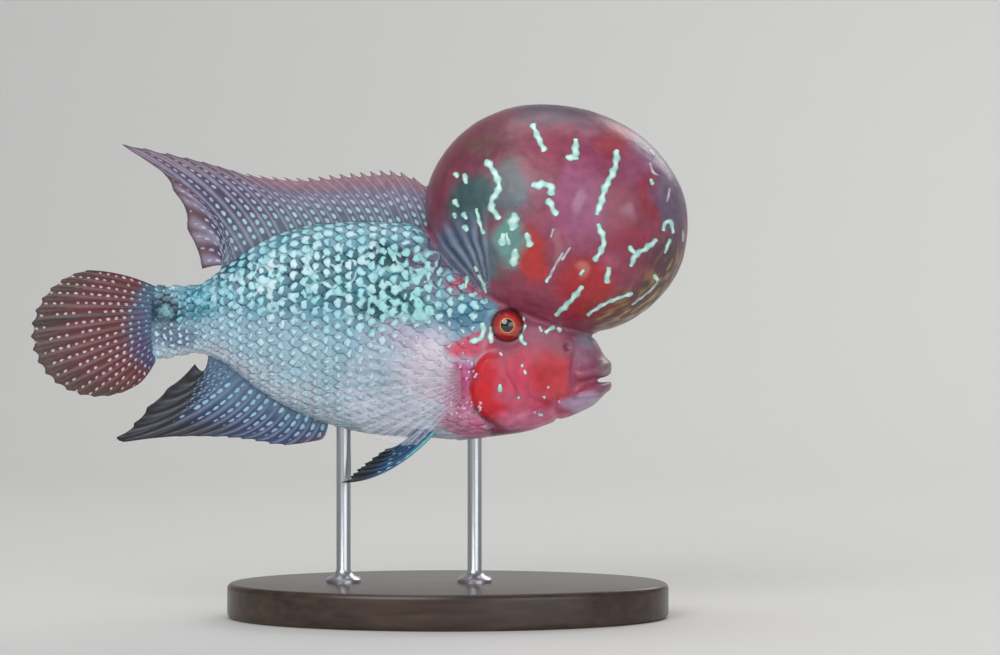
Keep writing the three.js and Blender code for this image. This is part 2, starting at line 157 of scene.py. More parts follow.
# Plain mesh helpers
def newMesh(name, points, faces):
    data = bpy.data.meshes.new(name)
    data.from_pydata([tuple(p) for p in points], [], [tuple(f) for f in faces])
    data.update()
    made = bpy.data.objects.new(name, data)
    bpy.context.scene.collection.objects.link(made)
    return made


def pointsOf(piece):
    co = np.empty(len(piece.data.vertices) * 3, np.float32)
    piece.data.vertices.foreach_get("co", co)
    return co.reshape(-1, 3).astype(float)


def setPoints(piece, points):
    piece.data.vertices.foreach_set("co", np.asarray(points, np.float32).ravel())
    piece.data.update()


def normalsOf(piece):
    out = np.empty(len(piece.data.vertices) * 3, np.float32)
    piece.data.vertex_normals.foreach_get("vector", out)
    return out.reshape(-1, 3).astype(float)


def applied(piece):  # the piece with its modifiers made real
    graph = bpy.context.evaluated_depsgraph_get()
    data = bpy.data.meshes.new_from_object(piece.evaluated_get(graph))
    piece.modifiers.clear()
    old = piece.data
    piece.data = data
    bpy.data.meshes.remove(old)
    return piece


def setColour(piece, name, colours):
    layer = piece.data.attributes.new(name, "FLOAT_COLOR", "POINT")
    rgba = np.ones((len(colours), 4), np.float32)
    rgba[:, :3] = colours
    layer.data.foreach_set("color", rgba.ravel())


def setNumber(piece, name, values):
    layer = piece.data.attributes.new(name, "FLOAT", "POINT")
    layer.data.foreach_set("value", np.asarray(values, np.float32))


def setVector(piece, name, values):
    layer = piece.data.attributes.new(name, "FLOAT_VECTOR", "POINT")
    layer.data.foreach_set("vector", np.asarray(values, np.float32).ravel())


def shaded(piece, smooth=True):
    piece.data.polygons.foreach_set("use_smooth", [smooth] * len(piece.data.polygons))
    return piece


def ringFaces(rings, around, closeEnds=True):
    faces = []
    for i in range(rings - 1):
        for j in range(around):
            a, b = i * around + j, i * around + (j + 1) % around
            faces.append((a, b, b + around, a + around))
    if closeEnds:
        faces.append(tuple(range(around))[::-1])
        faces.append(tuple(range((rings - 1) * around, rings * around)))
    return faces


def ballPoints(across, down):  # the directions over a ball, its poles last, and its faces
    tall = np.repeat(math.pi * np.arange(1, down) / down, across)
    turn = np.tile(2 * math.pi * np.arange(across) / across, down - 1)
    points = np.stack([np.sin(tall) * np.cos(turn), np.sin(tall) * np.sin(turn), np.cos(tall)], 1)
    faces = ringFaces(down - 1, across, False)
    pole, last = (down - 1) * across, (down - 2) * across
    for j in range(across):
        k = (j + 1) % across
        faces += [(pole, k, j), (pole + 1, last + j, last + k)]
    return np.concatenate([points, [(0, 0, 1), (0, 0, -1)]]), faces


def sheetFaces(lines, row, size, first=0, way=1):  # two like sheets of points, closed along their edge
    last = (lines - 1) * row
    faces = []
    for i in range(lines - 1):
        for j in range(row - 1):
            a = first + i * row + j
            faces.append((a, a + row, a + row + 1, a + 1))
            faces.append((a + size, a + 1 + size, a + row + 1 + size, a + row + size))
    edge = [*range(row)] + [*range(2 * row - 1, last + row, row)]
    edge += [*range(last + row - 2, last - 1, -1)] + [*range(last - row, 0, -row)]
    edge = [first + a for a in edge][::way]
    return faces + [(a, b, b + size, a + size) for a, b in zip(edge, edge[1:] + edge[:1])]


def faceOut(piece):
    work = bmesh.new()
    work.from_mesh(piece.data)
    bmesh.ops.remove_doubles(work, verts=work.verts, dist=1e-6)
    bmesh.ops.recalc_face_normals(work, faces=work.faces)
    work.to_mesh(piece.data)
    work.free()
    return piece


def linear(*rgb):  # a screen colour from 0 to 255 as a scene colour
    c = np.array(rgb, float) / 255
    return np.where(c <= 0.04045, c / 12.92, ((c + 0.055) / 1.055) ** 2.4)


def mixed(a, b, share):
    share = np.asarray(share, float)[..., None]
    return np.asarray(a, float) * (1 - share) + np.asarray(b, float) * share


def waves(p, size, seed=0.0):  # slow wandering values from -1 to 1
    q = np.asarray(p, float) / size + seed
    return np.array([noise.noise(Vector(v)) for v in q])


def finished(piece, replaced=()):
    shift = Matrix.Translation((0, 0, -floorLevel * millimetre))
    piece.data.transform(shift @ Matrix.Scale(millimetre, 4))
    piece.data.update()
    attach(piece, "root")
    if replaced:
        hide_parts(*replaced)
    return piece


# Colours of the skin. A patch is the pixel of its middle, its half sizes in pixels, its strength and colour
skinTones = {
    "back": (122, 158, 176), "flankTop": (108, 154, 174), "flankLow": (152, 186, 204),
    "belly": (196, 206, 220), "hump": (144, 60, 84), "brow": (140, 72, 96), "lips": (138, 96, 112),
    "mouth": (84, 26, 40), "valley": (20, 52, 76), "ridge": (142, 150, 178), "rim": (70, 50, 38),
    "gold": (168, 134, 76),
}
humpPatches = [
    # the first patch on the next line, on the hump's top, is the hump's own plum made darker against the top
    # light's sheen: partly painted shade
    (580, 110, 80, 20, 0.95, (72, 42, 72)), (470, 140, 48, 40, 0.8, (112, 52, 70)),
    (432, 190, 15, 60, 0.8, (112, 48, 66)), (575, 205, 30, 38, 0.8, (158, 84, 126)),
    (592, 152, 22, 20, 0.5, (140, 62, 96)), (632, 172, 22, 26, 0.6, (146, 82, 116)),
    (608, 145, 17, 13, 0.7, (158, 48, 58)), (652, 198, 17, 26, 0.75, (156, 44, 60)),
    (625, 242, 20, 15, 0.75, (152, 34, 62)), (672, 190, 20, 62, 0.9, (108, 96, 120)),
    (655, 145, 24, 26, 0.8, (114, 96, 120)), (665, 258, 20, 24, 0.85, (92, 50, 76)),
    (585, 285, 32, 30, 0.95, (176, 30, 38)), (612, 312, 46, 12, 0.9, (160, 28, 36)),
    (532, 262, 13, 28, 0.95, (184, 44, 42)), (654, 300, 24, 18, 0.9, (84, 62, 40)),
    (508, 190, 21, 25, 0.85, (78, 102, 108)), (475, 205, 25, 28, 0.95, (46, 88, 88)),
    (460, 250, 22, 34, 0.95, (60, 92, 116)), (486, 262, 16, 28, 0.85, (70, 106, 114)),
    (510, 242, 15, 28, 0.9, (92, 156, 150)), (582, 206, 7, 9, 0.6, (184, 138, 164)),
    (624, 214, 9, 9, 0.5, (176, 126, 150)), (578, 270, 8, 7, 0.6, (220, 138, 126)),
    (482, 148, 17, 11, 0.5, (104, 84, 72)), (556, 246, 5, 16, 0.5, (188, 122, 132)),
    (604, 262, 12, 9, 0.5, (178, 96, 126)),
]
flankPatches = [
    (322, 284, 108, 30, 0.6, (28, 112, 134)), (392, 255, 34, 12, 1.0, (4, 70, 84)),
    (345, 262, 32, 11, 0.85, (16, 92, 106)), (385, 303, 38, 19, 1.0, (6, 80, 88)),
    (330, 285, 40, 16, 0.7, (36, 108, 122)), (292, 272, 28, 11, 0.85, (24, 86, 108)),
    (234, 266, 26, 22, 0.95, (14, 86, 110)), (300, 246, 30, 12, 0.6, (40, 104, 120)),
    (428, 262, 26, 20, 0.75, (112, 84, 112)), (466, 286, 24, 8, 0.9, (186, 84, 108)),
    (462, 313, 28, 12, 0.85, (44, 116, 148)), (425, 288, 26, 9, 0.6, (132, 120, 154)),
    # the pale chest patches at 410, 336 and 428, 372 on the next line and at 395, 408 on the line after are
    # the chest's own pale tones made lighter against the shade under the body: partly painted light
    (410, 336, 44, 13, 0.8, (194, 184, 206)), (428, 372, 34, 36, 0.9, (234, 218, 230)),
    (395, 408, 44, 22, 0.8, (208, 216, 230)), (470, 345, 20, 12, 0.95, (212, 66, 100)),
    (486, 322, 10, 12, 0.8, (64, 112, 140)), (461, 378, 16, 20, 0.95, (202, 84, 146)),
    (464, 402, 16, 14, 0.9, (208, 98, 150)), (462, 420, 26, 12, 0.85, (206, 124, 156)),
    (492, 428, 26, 14, 0.9, (206, 104, 138)), (166, 308, 14, 19, 1.0, (8, 54, 76)),
    (165, 310, 2.5, 8, 0.9, (120, 176, 190)), (197, 304, 17, 20, 0.95, (18, 112, 134)),
    (176, 338, 26, 13, 0.8, (84, 96, 128)), (215, 240, 40, 14, 0.6, (70, 106, 122)),
]
headPatches = [
    (526, 384, 56, 38, 0.95, (198, 60, 86)), (486, 366, 13, 22, 0.95, (206, 20, 40)),
    (482, 392, 13, 15, 0.98, (212, 10, 24)), (495, 409, 17, 9, 0.97, (210, 16, 34)),
    (514, 372, 15, 18, 0.9, (200, 60, 90)), (520, 398, 22, 11, 0.88, (206, 84, 114)),
    (549, 371, 22, 19, 0.96, (190, 28, 42)), (558, 388, 12, 7, 0.5, (206, 66, 62)),
    # the first patch on the next line, low on the cheek, is the cheek's own pink made lighter against the
    # shade under the head: partly painted light
    (534, 420, 38, 13, 0.95, (224, 124, 160)), (574, 372, 5, 16, 0.7, (146, 52, 92)),
    (582, 403, 24, 8, 0.95, (190, 162, 194)), (604, 388, 11, 9, 0.9, (136, 84, 108)),
    (586, 348, 14, 16, 0.8, (146, 100, 124)), (594, 336, 16, 11, 0.9, (140, 142, 156)),
    (606, 362, 9, 12, 0.9, (134, 120, 118)), (540, 333, 32, 9, 0.85, (160, 78, 104)),
    (576, 326, 18, 6, 0.8, (112, 112, 124)), (481, 345, 14, 12, 0.85, (214, 58, 88)),
]
strays = {  # how the patches wander: size of the waves, reach in pixels, seeds
    "near": (4.0, 11, (31.0, 57.0)), "leftSide": (14.0, 26, (77.0, 91.0)),
}
wrinkles = {"x": 7.2, "z": 58.9, "from": 1.5, "to": 2.75, "reach": 17.0, "count": 36}


def flankLevel(x, z):  # 0 at the belly, 1 at the back
    back, belly = bodySize(x, "back"), bodySize(x, "belly")
    return (z - belly) / (back - belly)


def strayed(p, kind):
    size, reach, seeds = strays[kind]
    return np.stack([waves(p, size, seed) for seed in seeds], 1) * reach


def patched(colour, patches, places, share=1.0):
    for px, py, halfWidth, halfHeight, strength, tone in patches:
        d = np.hypot((places[:, 0] - px) / halfWidth, (places[:, 1] - py) / halfHeight)
        colour = mixed(colour, linear(*tone), share * strength * smoothStep(1.35, 0.5, d))
    return colour


def flankColour(p, tone, slow):
    level = flankLevel(p[:, 0], p[:, 2])
    colour = mixed(tone["belly"], tone["flankLow"], smoothStep(0.05, 0.3, level + 0.08 * slow))
    colour = mixed(colour, tone["flankTop"], smoothStep(0.42, 0.58, level + 0.05 * slow))
    return mixed(colour, tone["back"], smoothStep(0.86, 0.97, level))


def headColour(p, tone, places):
    x, _, z = p.T
    head = patched(np.broadcast_to(tone["brow"], p.shape), headPatches, places)
    head = mixed(head, tone["lips"], 0.7 * smoothStep(26.0, 27.6, x))
    slope = (mouth["frontZ"] - mouth["cornerZ"]) / (mouth["frontX"] - mouth["cornerX"])
    gap = np.abs(z - (mouth["cornerZ"] + slope * (x - mouth["cornerX"])))
    inside = smoothStep(0.75, 0.35, gap) * smoothStep(0.96, 0.9, bodyShare(p)) * smoothStep(21, 22, x)
    return mixed(head, tone["mouth"], inside)


def humpColour(p, tone, places):  # with its wrinkles, and gold streaks on the dark rim over the snout
    x, y, z = p.T
    hue = patched(np.broadcast_to(tone["hump"], p.shape), humpPatches, places)
    inside, crest = wrinkled(p)
    hue = mixed(hue, mixed(tone["valley"], tone["ridge"], crest), 0.8 * inside)
    bearing = np.arctan2(z - hump["centre"][2], x - hump["centre"][0])
    rim = smoothStep(0.02, -0.55, bearing) * smoothStep(-1.4, -1.05, bearing)
    rim = smoothStep(11.5, 6, np.abs(y)) * rim
    hue = mixed(hue, tone["rim"], 0.85 * rim)
    streaks = waves(np.stack([bearing * 8, y * 1.5, 0 * y], 1), 1.0, 41.0)
    return mixed(hue, tone["gold"], rim * smoothStep(0.0, 0.35, streaks))


def skinColour(p):
    x, y, z = p.T
    tone = {key: linear(*rgb) for key, rgb in skinTones.items()}
    slow, fine = waves(p, 5.0, 3.1), waves(p, 1.5, 9.7)
    stray = strayed(p, "near") + smoothStep(-1, 1, y)[:, None] * strayed(p, "leftSide")
    places = np.stack([x * pictureScale + pictureZero[0], pictureZero[1] - z * pictureScale], 1)
    onHead = np.maximum(smoothStep(1.2, 2.6, x - slitAt(z)), smoothStep(1.1, 1.03, gillShare(x, z)))
    colour = patched(flankColour(p, tone, slow), flankPatches, places + stray, 1 - onHead)
    colour = mixed(colour, headColour(p, tone, places + stray * 0.5), onHead)
    onHump = smoothStep(1.03, 0.985, humpShare(p))
    colour = mixed(colour, humpColour(p, tone, places + stray), onHump)
    return np.clip(colour * (1 + 0.15 * fine + 0.1 * slow)[:, None], 0, 1)


def wrinkled(p):  # the wrinkles that meet above the eye: where they are, and how high on a ridge
    turn = np.arctan2(p[:, 2] - wrinkles["z"], p[:, 0] - wrinkles["x"])
    reach = np.hypot(p[:, 0] - wrinkles["x"], p[:, 2] - wrinkles["z"])
    inside = smoothStep(wrinkles["from"], 1.72, turn) * smoothStep(wrinkles["to"], 2.3, turn)
    inside = inside * smoothStep(0.4, 2.5, reach)
    inside = inside * smoothStep(wrinkles["reach"], 9.0, reach + 2 * waves(p, 3.0, 63.0))
    swing = 0.8 * np.sin(reach * 0.5) + 1.6 * waves(p, 4.0, 12.0)
    return inside, 0.5 + 0.5 * np.sin(turn * wrinkles["count"] + swing)


# The skin over body, hump and lips, in one mesh
skinMesh = {"voxel": 0.42, "quickVoxel": 0.6, "rings": 200, "around": 112, "across": 150, "down": 110}
cheek = {"x": 17.4, "z": 47.2, "radius": 6.4, "groove": 0.13, "rise": 0.1, "uneven": 0.12}
faceFold = {"x": 21.4, "z": 46, "bend": 0.03, "width": 0.5, "depth": 0.2}
humpFold = {"depth": 0.55, "wrinkle": 0.34, "swell": 0.2, "ripple": 0.05}
jawCrease = {"x": 18.6, "z": 40, "bend": 0.06, "width": 0.5, "depth": 0.4}
throat = {"x": 13.5, "width": 4.5, "rise": 0.45}
membrane = {"folds": 4, "x": 12, "z": 38.6, "step": 0.55, "width": 0.16, "depth": 0.1}
pores = {"size": 1.3, "depth": 0.045}


def bodyLoft(name, rings, around, inset):
    x0, x1 = body["x"][0] + inset * 0.5, body["x"][-1]
    xs = x0 + (x1 - x0) * np.sin(np.linspace(0, math.pi / 2, rings)) ** 1.15
    angles = np.arange(around) / around * 2 * math.pi
    points = []
    for x in xs:
        y, z = sectionPoint(x, angles, inset)
        points.append(np.stack([np.full(around, x), y, z], 1))
    last, middle = points[-1], points[-1].mean(0)
    for forward, share in body["snout"]:
        points.append((last - middle) * share + middle + (forward, 0, 0))
    return faceOut(newMesh(name, np.concatenate(points), ringFaces(len(points), around)))


def humpBall(name, across, down, inset):
    d, faces = ballPoints(across, down)
    d /= ((np.abs(d) ** hump["power"]).sum(1) ** (1 / hump["power"]))[:, None]
    width = hump["width"] * (1 + hump["narrowing"] * d[:, 2]) - inset
    x, z = d[:, 0] * (hump["length"] - inset), d[:, 2] * (hump["height"] - inset)
    c, s = math.cos(hump["lean"]), math.sin(hump["lean"])
    leaning = np.stack([x * c + z * s, d[:, 1] * width, -x * s + z * c], 1)
    return faceOut(newMesh(name, leaning + hump["centre"], faces))


def lipRoll(name, above):
    half = float(bodySize(mouth["cornerX"], "half")) - 0.5
    b = np.arange(lip["around"]) / lip["around"] * 2 * math.pi
    points = []
    for i in range(lip["steps"] + 1):
        t = -1 + 2 * i / lip["steps"]
        a = t * math.pi / 2
        rise = mouth["frontZ"] + (mouth["cornerZ"] - mouth["frontZ"]) * t * t
        z = rise + above * (mouth["opening"] / 2 + lip["radius"] * 0.86)
        x = mouth["cornerX"] + (lip["front"] - mouth["cornerX"]) * max(math.cos(a), 0) ** 0.8
        middle = np.array([x, half * math.sin(a), z])
        out = np.array([math.cos(a), math.sin(a), 0])
        r = lip["radius"] * (1 - lip["thinning"] * abs(t) ** 3)
        points.append(middle + r * np.cos(b)[:, None] * out + r * np.sin(b)[:, None] * np.array([0, 0, 1]))
    return faceOut(newMesh(name, np.concatenate(points), ringFaces(lip["steps"] + 1, lip["around"])))


def mouthWedge(name):
    corner = (mouth["cornerX"] - 0.3, mouth["cornerZ"])
    low = (mouth["frontX"] + 1, mouth["frontZ"] - mouth["opening"] * 0.75)
    high = (mouth["frontX"] + 1, mouth["frontZ"] + mouth["opening"] * 0.75)
    points = [(x, y, z) for y in (-12, 12) for x, z in (corner, low, high)]
    return faceOut(newMesh(name, points, [(0, 1, 2), (3, 5, 4), (0, 3, 4, 1), (1, 4, 5, 2), (2, 5, 3, 0)]))


def remeshed(piece, size):
    step = piece.modifiers.new("even", "REMESH")
    step.mode = "VOXEL"
    step.voxel_size = size
    return applied(piece)


def eased(piece, factor, times):
    step = piece.modifiers.new("ease", "SMOOTH")
    step.factor, step.iterations = factor, times
    return applied(piece)


def makeSkin():
    voxel = skinMesh["voxel"]
    parts = [
        bodyLoft("skin", skinMesh["rings"], skinMesh["around"], body["coat"]),
        humpBall("humpPart", skinMesh["across"], skinMesh["down"], 0.2),
        lipRoll("upperLip", 1),
        lipRoll("lowerLip", -1),
    ]
    wedge = mouthWedge("wedge")
    with bpy.context.temp_override(active_object=parts[0], selected_editable_objects=parts):
        bpy.ops.object.join()
    skin = remeshed(parts[0], voxel)
    cut = skin.modifiers.new("mouth", "BOOLEAN")
    cut.operation, cut.object, cut.solver = "DIFFERENCE", wedge, "MANIFOLD"
    applied(skin)
    bpy.data.objects.remove(wedge)
    remeshed(skin, voxel * 0.97)
    eased(skin, 0.5, 5)
    carveSkin(skin)
    eased(skin, 0.35, 1)
    shaded(skin)
    skin.data.materials.clear()
    skin.data.polygons.foreach_set("material_index", [0] * len(skin.data.polygons))
    setColour(skin, "tone", skinColour(pointsOf(skin)))
    print("skin", len(skin.data.vertices))
    return skin


def gillRise(p, turn):  # the cover's plate, with a free edge from above the fin's root to the throat
    r = gillShare(p[:, 0], p[:, 2]) + 0.02 * np.sin(turn * 5 + 0.6)
    hind = smoothStep(1.75, 1.0, np.abs(turn + 0.35))
    plate = gill["raise"] * (0.22 + 0.78 * hind) * smoothStep(1.03, 0.9 - 0.3 * (1 - hind), r)
    return plate - gill["groove"] * hind * hill(r - 1.07, 0.05)


def cheekRise(p):  # its hind and lower edge, its uneven plate and the fold before it
    x, _, z = p.T
    q = np.hypot((x - cheek["x"]) / cheek["radius"], (z - cheek["z"]) / cheek["radius"])
    q = q + 0.05 * waves(p, 3.0, 71.0)
    low = np.abs(np.arctan2(z - cheek["z"], cheek["x"] - x) + 0.95) - 0.35
    edge = cheek["rise"] * hill(q - 0.82, 0.12) - cheek["groove"] * hill(q - 1.0, 0.1)
    plate = smoothStep(8, 10, x) * smoothStep(21, 19, x) * smoothStep(51, 49, z)
    front = hill(x - (faceFold["x"] + faceFold["bend"] * (z - faceFold["z"]) ** 2), faceFold["width"])
    front = front * smoothStep(41.8, 43.5, z) * smoothStep(50.5, 48.5, z)
    rise = smoothStep(0.8, 0.0, low) * edge + plate * cheek["uneven"] * waves(p, 2.6, 17.0)
    return rise - faceFold["depth"] * front


def humpRise(p, share, flesh):  # the fold where the hump hangs over the body, and its wrinkles
    fold = hill(share - 1.012, 0.03) * hill(flesh - 1.0, 0.06)
    inside, crest = wrinkled(p)
    rise = humpFold["wrinkle"] * inside * (crest - 0.5) + humpFold["swell"] * waves(p, 7.0, 5.5)
    rise = rise + humpFold["ripple"] * waves(p, 2.2, 8.5)
    return smoothStep(1.01, 0.985, share) * rise - humpFold["depth"] * fold


def jawRise(p):  # creases of the jaw and the throat, and the gill membrane's folds under the chin
    x, _, z = p.T
    crease = x - (jawCrease["x"] + jawCrease["bend"] * (z - jawCrease["z"]) ** 2)
    rise = throat["rise"] * hill(x - throat["x"], throat["width"]) * smoothStep(40, 36, z)
    cut = hill(crease, jawCrease["width"]) * smoothStep(43.5, 41, z) * (np.abs(x - 19) < 5)
    rise -= jawCrease["depth"] * cut
    for k in range(membrane["folds"]):
        bend = 0.05 * (x - membrane["x"]) ** 2 * (0.2 + 0.1 * k)
        line = z - (membrane["z"] - membrane["step"] * k + bend)
        line = hill(line, membrane["width"]) * smoothStep(8, 10, x) * smoothStep(17.5, 15.5, x)
        rise -= membrane["depth"] * line
    return rise


def carveSkin(skin):  # the gill cover, eye rims, nostrils, folds and pores
    p, n = pointsOf(skin), normalsOf(skin)
    x, y, z = p.T
    side = smoothStep(2.0, 4.5, np.abs(y))
    share, flesh = humpShare(p), bodyShare(p)
    turn = np.arctan2(z - gill["z"], gill["x"] - x)  # 0 at the cover's hind end, and it grows upwards
    rise = gillRise(p, turn) * side * smoothStep(0.99, 1.03, share)
    rise += side * cheekRise(p) + humpRise(p, share, flesh) + jawRise(p)
    d = np.hypot(x - eye["x"], z - eye["z"])
    beside = smoothStep(3.5, 5.5, np.abs(y))
    rise += beside * eye["rim"] * hill(d - eye["opening"] - 0.5, 0.45)
    rise -= beside * eye["socket"] * smoothStep(eye["opening"] + 0.1, eye["opening"] - 0.4, d)
    d = np.hypot(x - nostril["x"], z - nostril["z"])
    rise += side * nostril["rim"] * hill(d - nostril["ring"], 0.28)
    rise -= side * nostril["depth"] * hill(d, nostril["pit"])
    rise += pores["depth"] * waves(p, pores["size"], 2.2) * smoothStep(4, 7, x)
    setPoints(skin, p + n * rise[:, None])


# Node helpers, each given the new-node and new-link calls of its tree
def feed(link, value, socket):  # joins another socket, or sets a plain value
    if isinstance(value, bpy.types.NodeSocket):
        link(value, socket)
    else:
        socket.default_value = value


def maths(node, link, operation, *values, kind="ShaderNodeMath"):
    made = node(kind)
    made.operation = operation
    for socket, value in zip(made.inputs, values):
        feed(link, value, socket)
    return made.outputs["Value"] if operation == "LENGTH" else made.outputs[0]


def vectors(node, link, operation, *values):
    return maths(node, link, operation, *values, kind="ShaderNodeVectorMath")


def scaledBy(node, link, value, amount):
    made = node("ShaderNodeVectorMath")
    made.operation = "SCALE"
    link(value, made.inputs[0])
    link(amount, made.inputs["Scale"])
    return made.outputs[0]


def splitOf(node, link, value):
    made = node("ShaderNodeSeparateXYZ")
    link(value, made.inputs[0])
    return made.outputs


def joinOf(node, link, x, y, z=0.0):
    made = node("ShaderNodeCombineXYZ")
    for socket, value in zip(made.inputs, (x, y, z)):
        feed(link, value, socket)
    return made.outputs[0]


def ranged(node, link, value, low, high, toLow=0.0, toHigh=1.0, smooth=True):
    made = node("ShaderNodeMapRange")
    made.interpolation_type = "SMOOTHSTEP" if smooth else "LINEAR"
    for key, v in (("From Min", low), ("From Max", high), ("To Min", toLow), ("To Max", toHigh)):
        made.inputs[key].default_value = v
    link(value, made.inputs["Value"])
    return made.outputs[0]


def noiseAt(node, link, place, scale, detail=0.0, distortion=0.0):
    made = node("ShaderNodeTexNoise")
    made.inputs["Detail"].default_value = detail
    made.inputs["Distortion"].default_value = distortion
    link(place, made.inputs["Vector"])
    feed(link, scale, made.inputs["Scale"])
    return made.outputs


def blended(node, link, kind, share, first, second):
    made = node("ShaderNodeMix")
    made.data_type, made.blend_type = "RGBA", kind
    for socket, value in ((made.inputs["Factor"], share), (made.inputs[6], first), (made.inputs[7], second)):
        feed(link, value, socket)
    return made.outputs[2]


def rampOf(node, link, value, stops):
    made = node("ShaderNodeValToRGB")
    while len(made.color_ramp.elements) < len(stops):
        made.color_ramp.elements.new(0.5)
    for element, (at, rgb) in zip(made.color_ramp.elements, stops):
        element.position = at
        element.color = (*linear(*rgb), 1)
    link(value, made.inputs["Fac"])
    return made.outputs["Color"]


def objectPlace(node):
    return node("ShaderNodeTexCoord").outputs["Object"]


def readAttribute(node, name, output="Color"):
    made = node("ShaderNodeAttribute")
    made.attribute_name = name
    return made.outputs[output]


# Small shapes that are repeated over the skin
def dishShape(name, size):  # one scale, its root at 0 and its free edge at x = 1
    columns, rows = size["columns"], size["rows"]
    points, leaf, rim = [], [], []
    for low in (0, 1):
        for i in range(rows + 1):
            t = i / rows
            half = 0.5 * math.sqrt(1 - 0.9 * (2 * t - 1) ** 2) if t > 0.5 else 0.5 * (0.72 + 0.56 * t)
            for j in range(columns + 1):
                s = -1 + 2 * j / columns
                x = t - 0.14 * (s * s) * (1 if t > 0.4 else 0)
                rise = size["crown"] * (1 - s * s) * math.sin(math.pi * min(1, 0.2 + 0.7 * t))
                points.append((x, s * half, rise - low * size["thickness"]))
                leaf.append((x - 0.5, s * half, 0))
                rim.append(max(t, abs(s)) ** 2)
    made = newMesh(name, points, sheetFaces(rows + 1, columns + 1, len(points) // 2))
    setVector(made, "leaf", leaf)
    setNumber(made, "rim", rim)
    return shaded(faceOut(made))


def scatterTree(name, patchSize):  # the shape on each root, with its own square patch of the unrolled body
    tree = bpy.data.node_groups.new(name, "GeometryNodeTree")
    given = {"Roots": "Geometry", "Shape": "Object", "Finish": "Material", "Patch size": "Float"}
    for label, kind in given.items():
        made = tree.interface.new_socket(label, in_out="INPUT", socket_type=f"NodeSocket{kind}")
        if label == "Patch size":
            made.default_value = patchSize
    tree.interface.new_socket("Coat", in_out="OUTPUT", socket_type="NodeSocketGeometry")
    node, link = tree.nodes.new, tree.links.new
    start, end = node("NodeGroupInput"), node("NodeGroupOutput")

    def named(attribute):
        made = node("GeometryNodeInputNamedAttribute")
        made.data_type = "FLOAT_VECTOR"
        made.inputs["Name"].default_value = attribute
        return made.outputs["Attribute"]

    turn = node("FunctionNodeAxesToRotation")
    turn.primary_axis, turn.secondary_axis = "Z", "X"
    link(named("outward"), turn.inputs[0])
    link(named("lie"), turn.inputs[1])
    shape = node("GeometryNodeObjectInfo")
    link(start.outputs["Shape"], shape.inputs["Object"])
    place = node("GeometryNodeInstanceOnPoints")
    link(start.outputs["Roots"], place.inputs["Points"])
    link(shape.outputs["Geometry"], place.inputs["Instance"])
    link(turn.outputs[0], place.inputs["Rotation"])
    link(named("grow"), place.inputs["Scale"])
    real = node("GeometryNodeRealizeInstances")
    link(place.outputs[0], real.inputs[0])
    onPatch = scaledBy(node, link, named("leaf"), start.outputs["Patch size"])
    store = node("GeometryNodeStoreNamedAttribute")
    store.data_type, store.domain = "FLOAT2", "CORNER"
    store.inputs["Name"].default_value = "OFBake"
    link(real.outputs[0], store.inputs["Geometry"])
    link(vectors(node, link, "ADD", onPatch, named("rootPlace")), store.inputs["Value"])
    paint = node("GeometryNodeSetMaterial")
    link(store.outputs[0], paint.inputs["Geometry"])
    link(start.outputs["Finish"], paint.inputs["Material"])
    link(paint.outputs[0], end.inputs[0])
    return tree


def scattered(name, tree, shape, finish, roots):
    piece = newMesh(name, [root["at"] for root in roots], [])
    for key in ("outward", "lie", "grow", "pearl"):
        setVector(piece, key, [root[key] for root in roots])
    setVector(piece, "rootPlace", [(*root["uv"], 0) for root in roots])
    setColour(piece, "pearlTone", [root["pearlTone"] for root in roots])
    for key in ("linked", "edgeShare", "shade"):
        setNumber(piece, key, [root[key] for root in roots])
    step = piece.modifiers.new("scatter", "NODES")
    step.node_group = tree
    given = {"Shape": shape, "Finish": finish}
    for item in tree.interface.items_tree:
        if item.in_out == "INPUT" and item.name in given:
            step[item.identifier] = given[item.name]
    applied(piece)
    shaded(piece)
    for spare in ("outward", "lie", "rootPlace"):
        if spare in piece.data.attributes:
            piece.data.attributes.remove(piece.data.attributes[spare])
    print(name, len(piece.data.polygons))
    return piece


# Finishes
def newFinish(name, **values):
    made = bpy.data.materials.new(name)
    made.use_nodes = True
    shader = made.node_tree.nodes["Principled BSDF"]
    for key, value in values.items():
        shader.inputs[key].default_value = value
    return made, shader, made.node_tree.nodes.new, made.node_tree.links.new


def newGroup(name, inputs, outputs):
    group = bpy.data.node_groups.new(name, "ShaderNodeTree")
    for label, value in inputs.items():
        kind = "Vector" if value is None else "Color" if value == "colour" else "Float"
        made = group.interface.new_socket(label, in_out="INPUT", socket_type=f"NodeSocket{kind}")
        if kind == "Float":
            made.default_value = value
    for label, kind in outputs.items():
        group.interface.new_socket(label, in_out="OUTPUT", socket_type=f"NodeSocket{kind}")
    start, end = group.nodes.new("NodeGroupInput"), group.nodes.new("NodeGroupOutput")
    return group, start.outputs, end.inputs, group.nodes.new, group.links.new


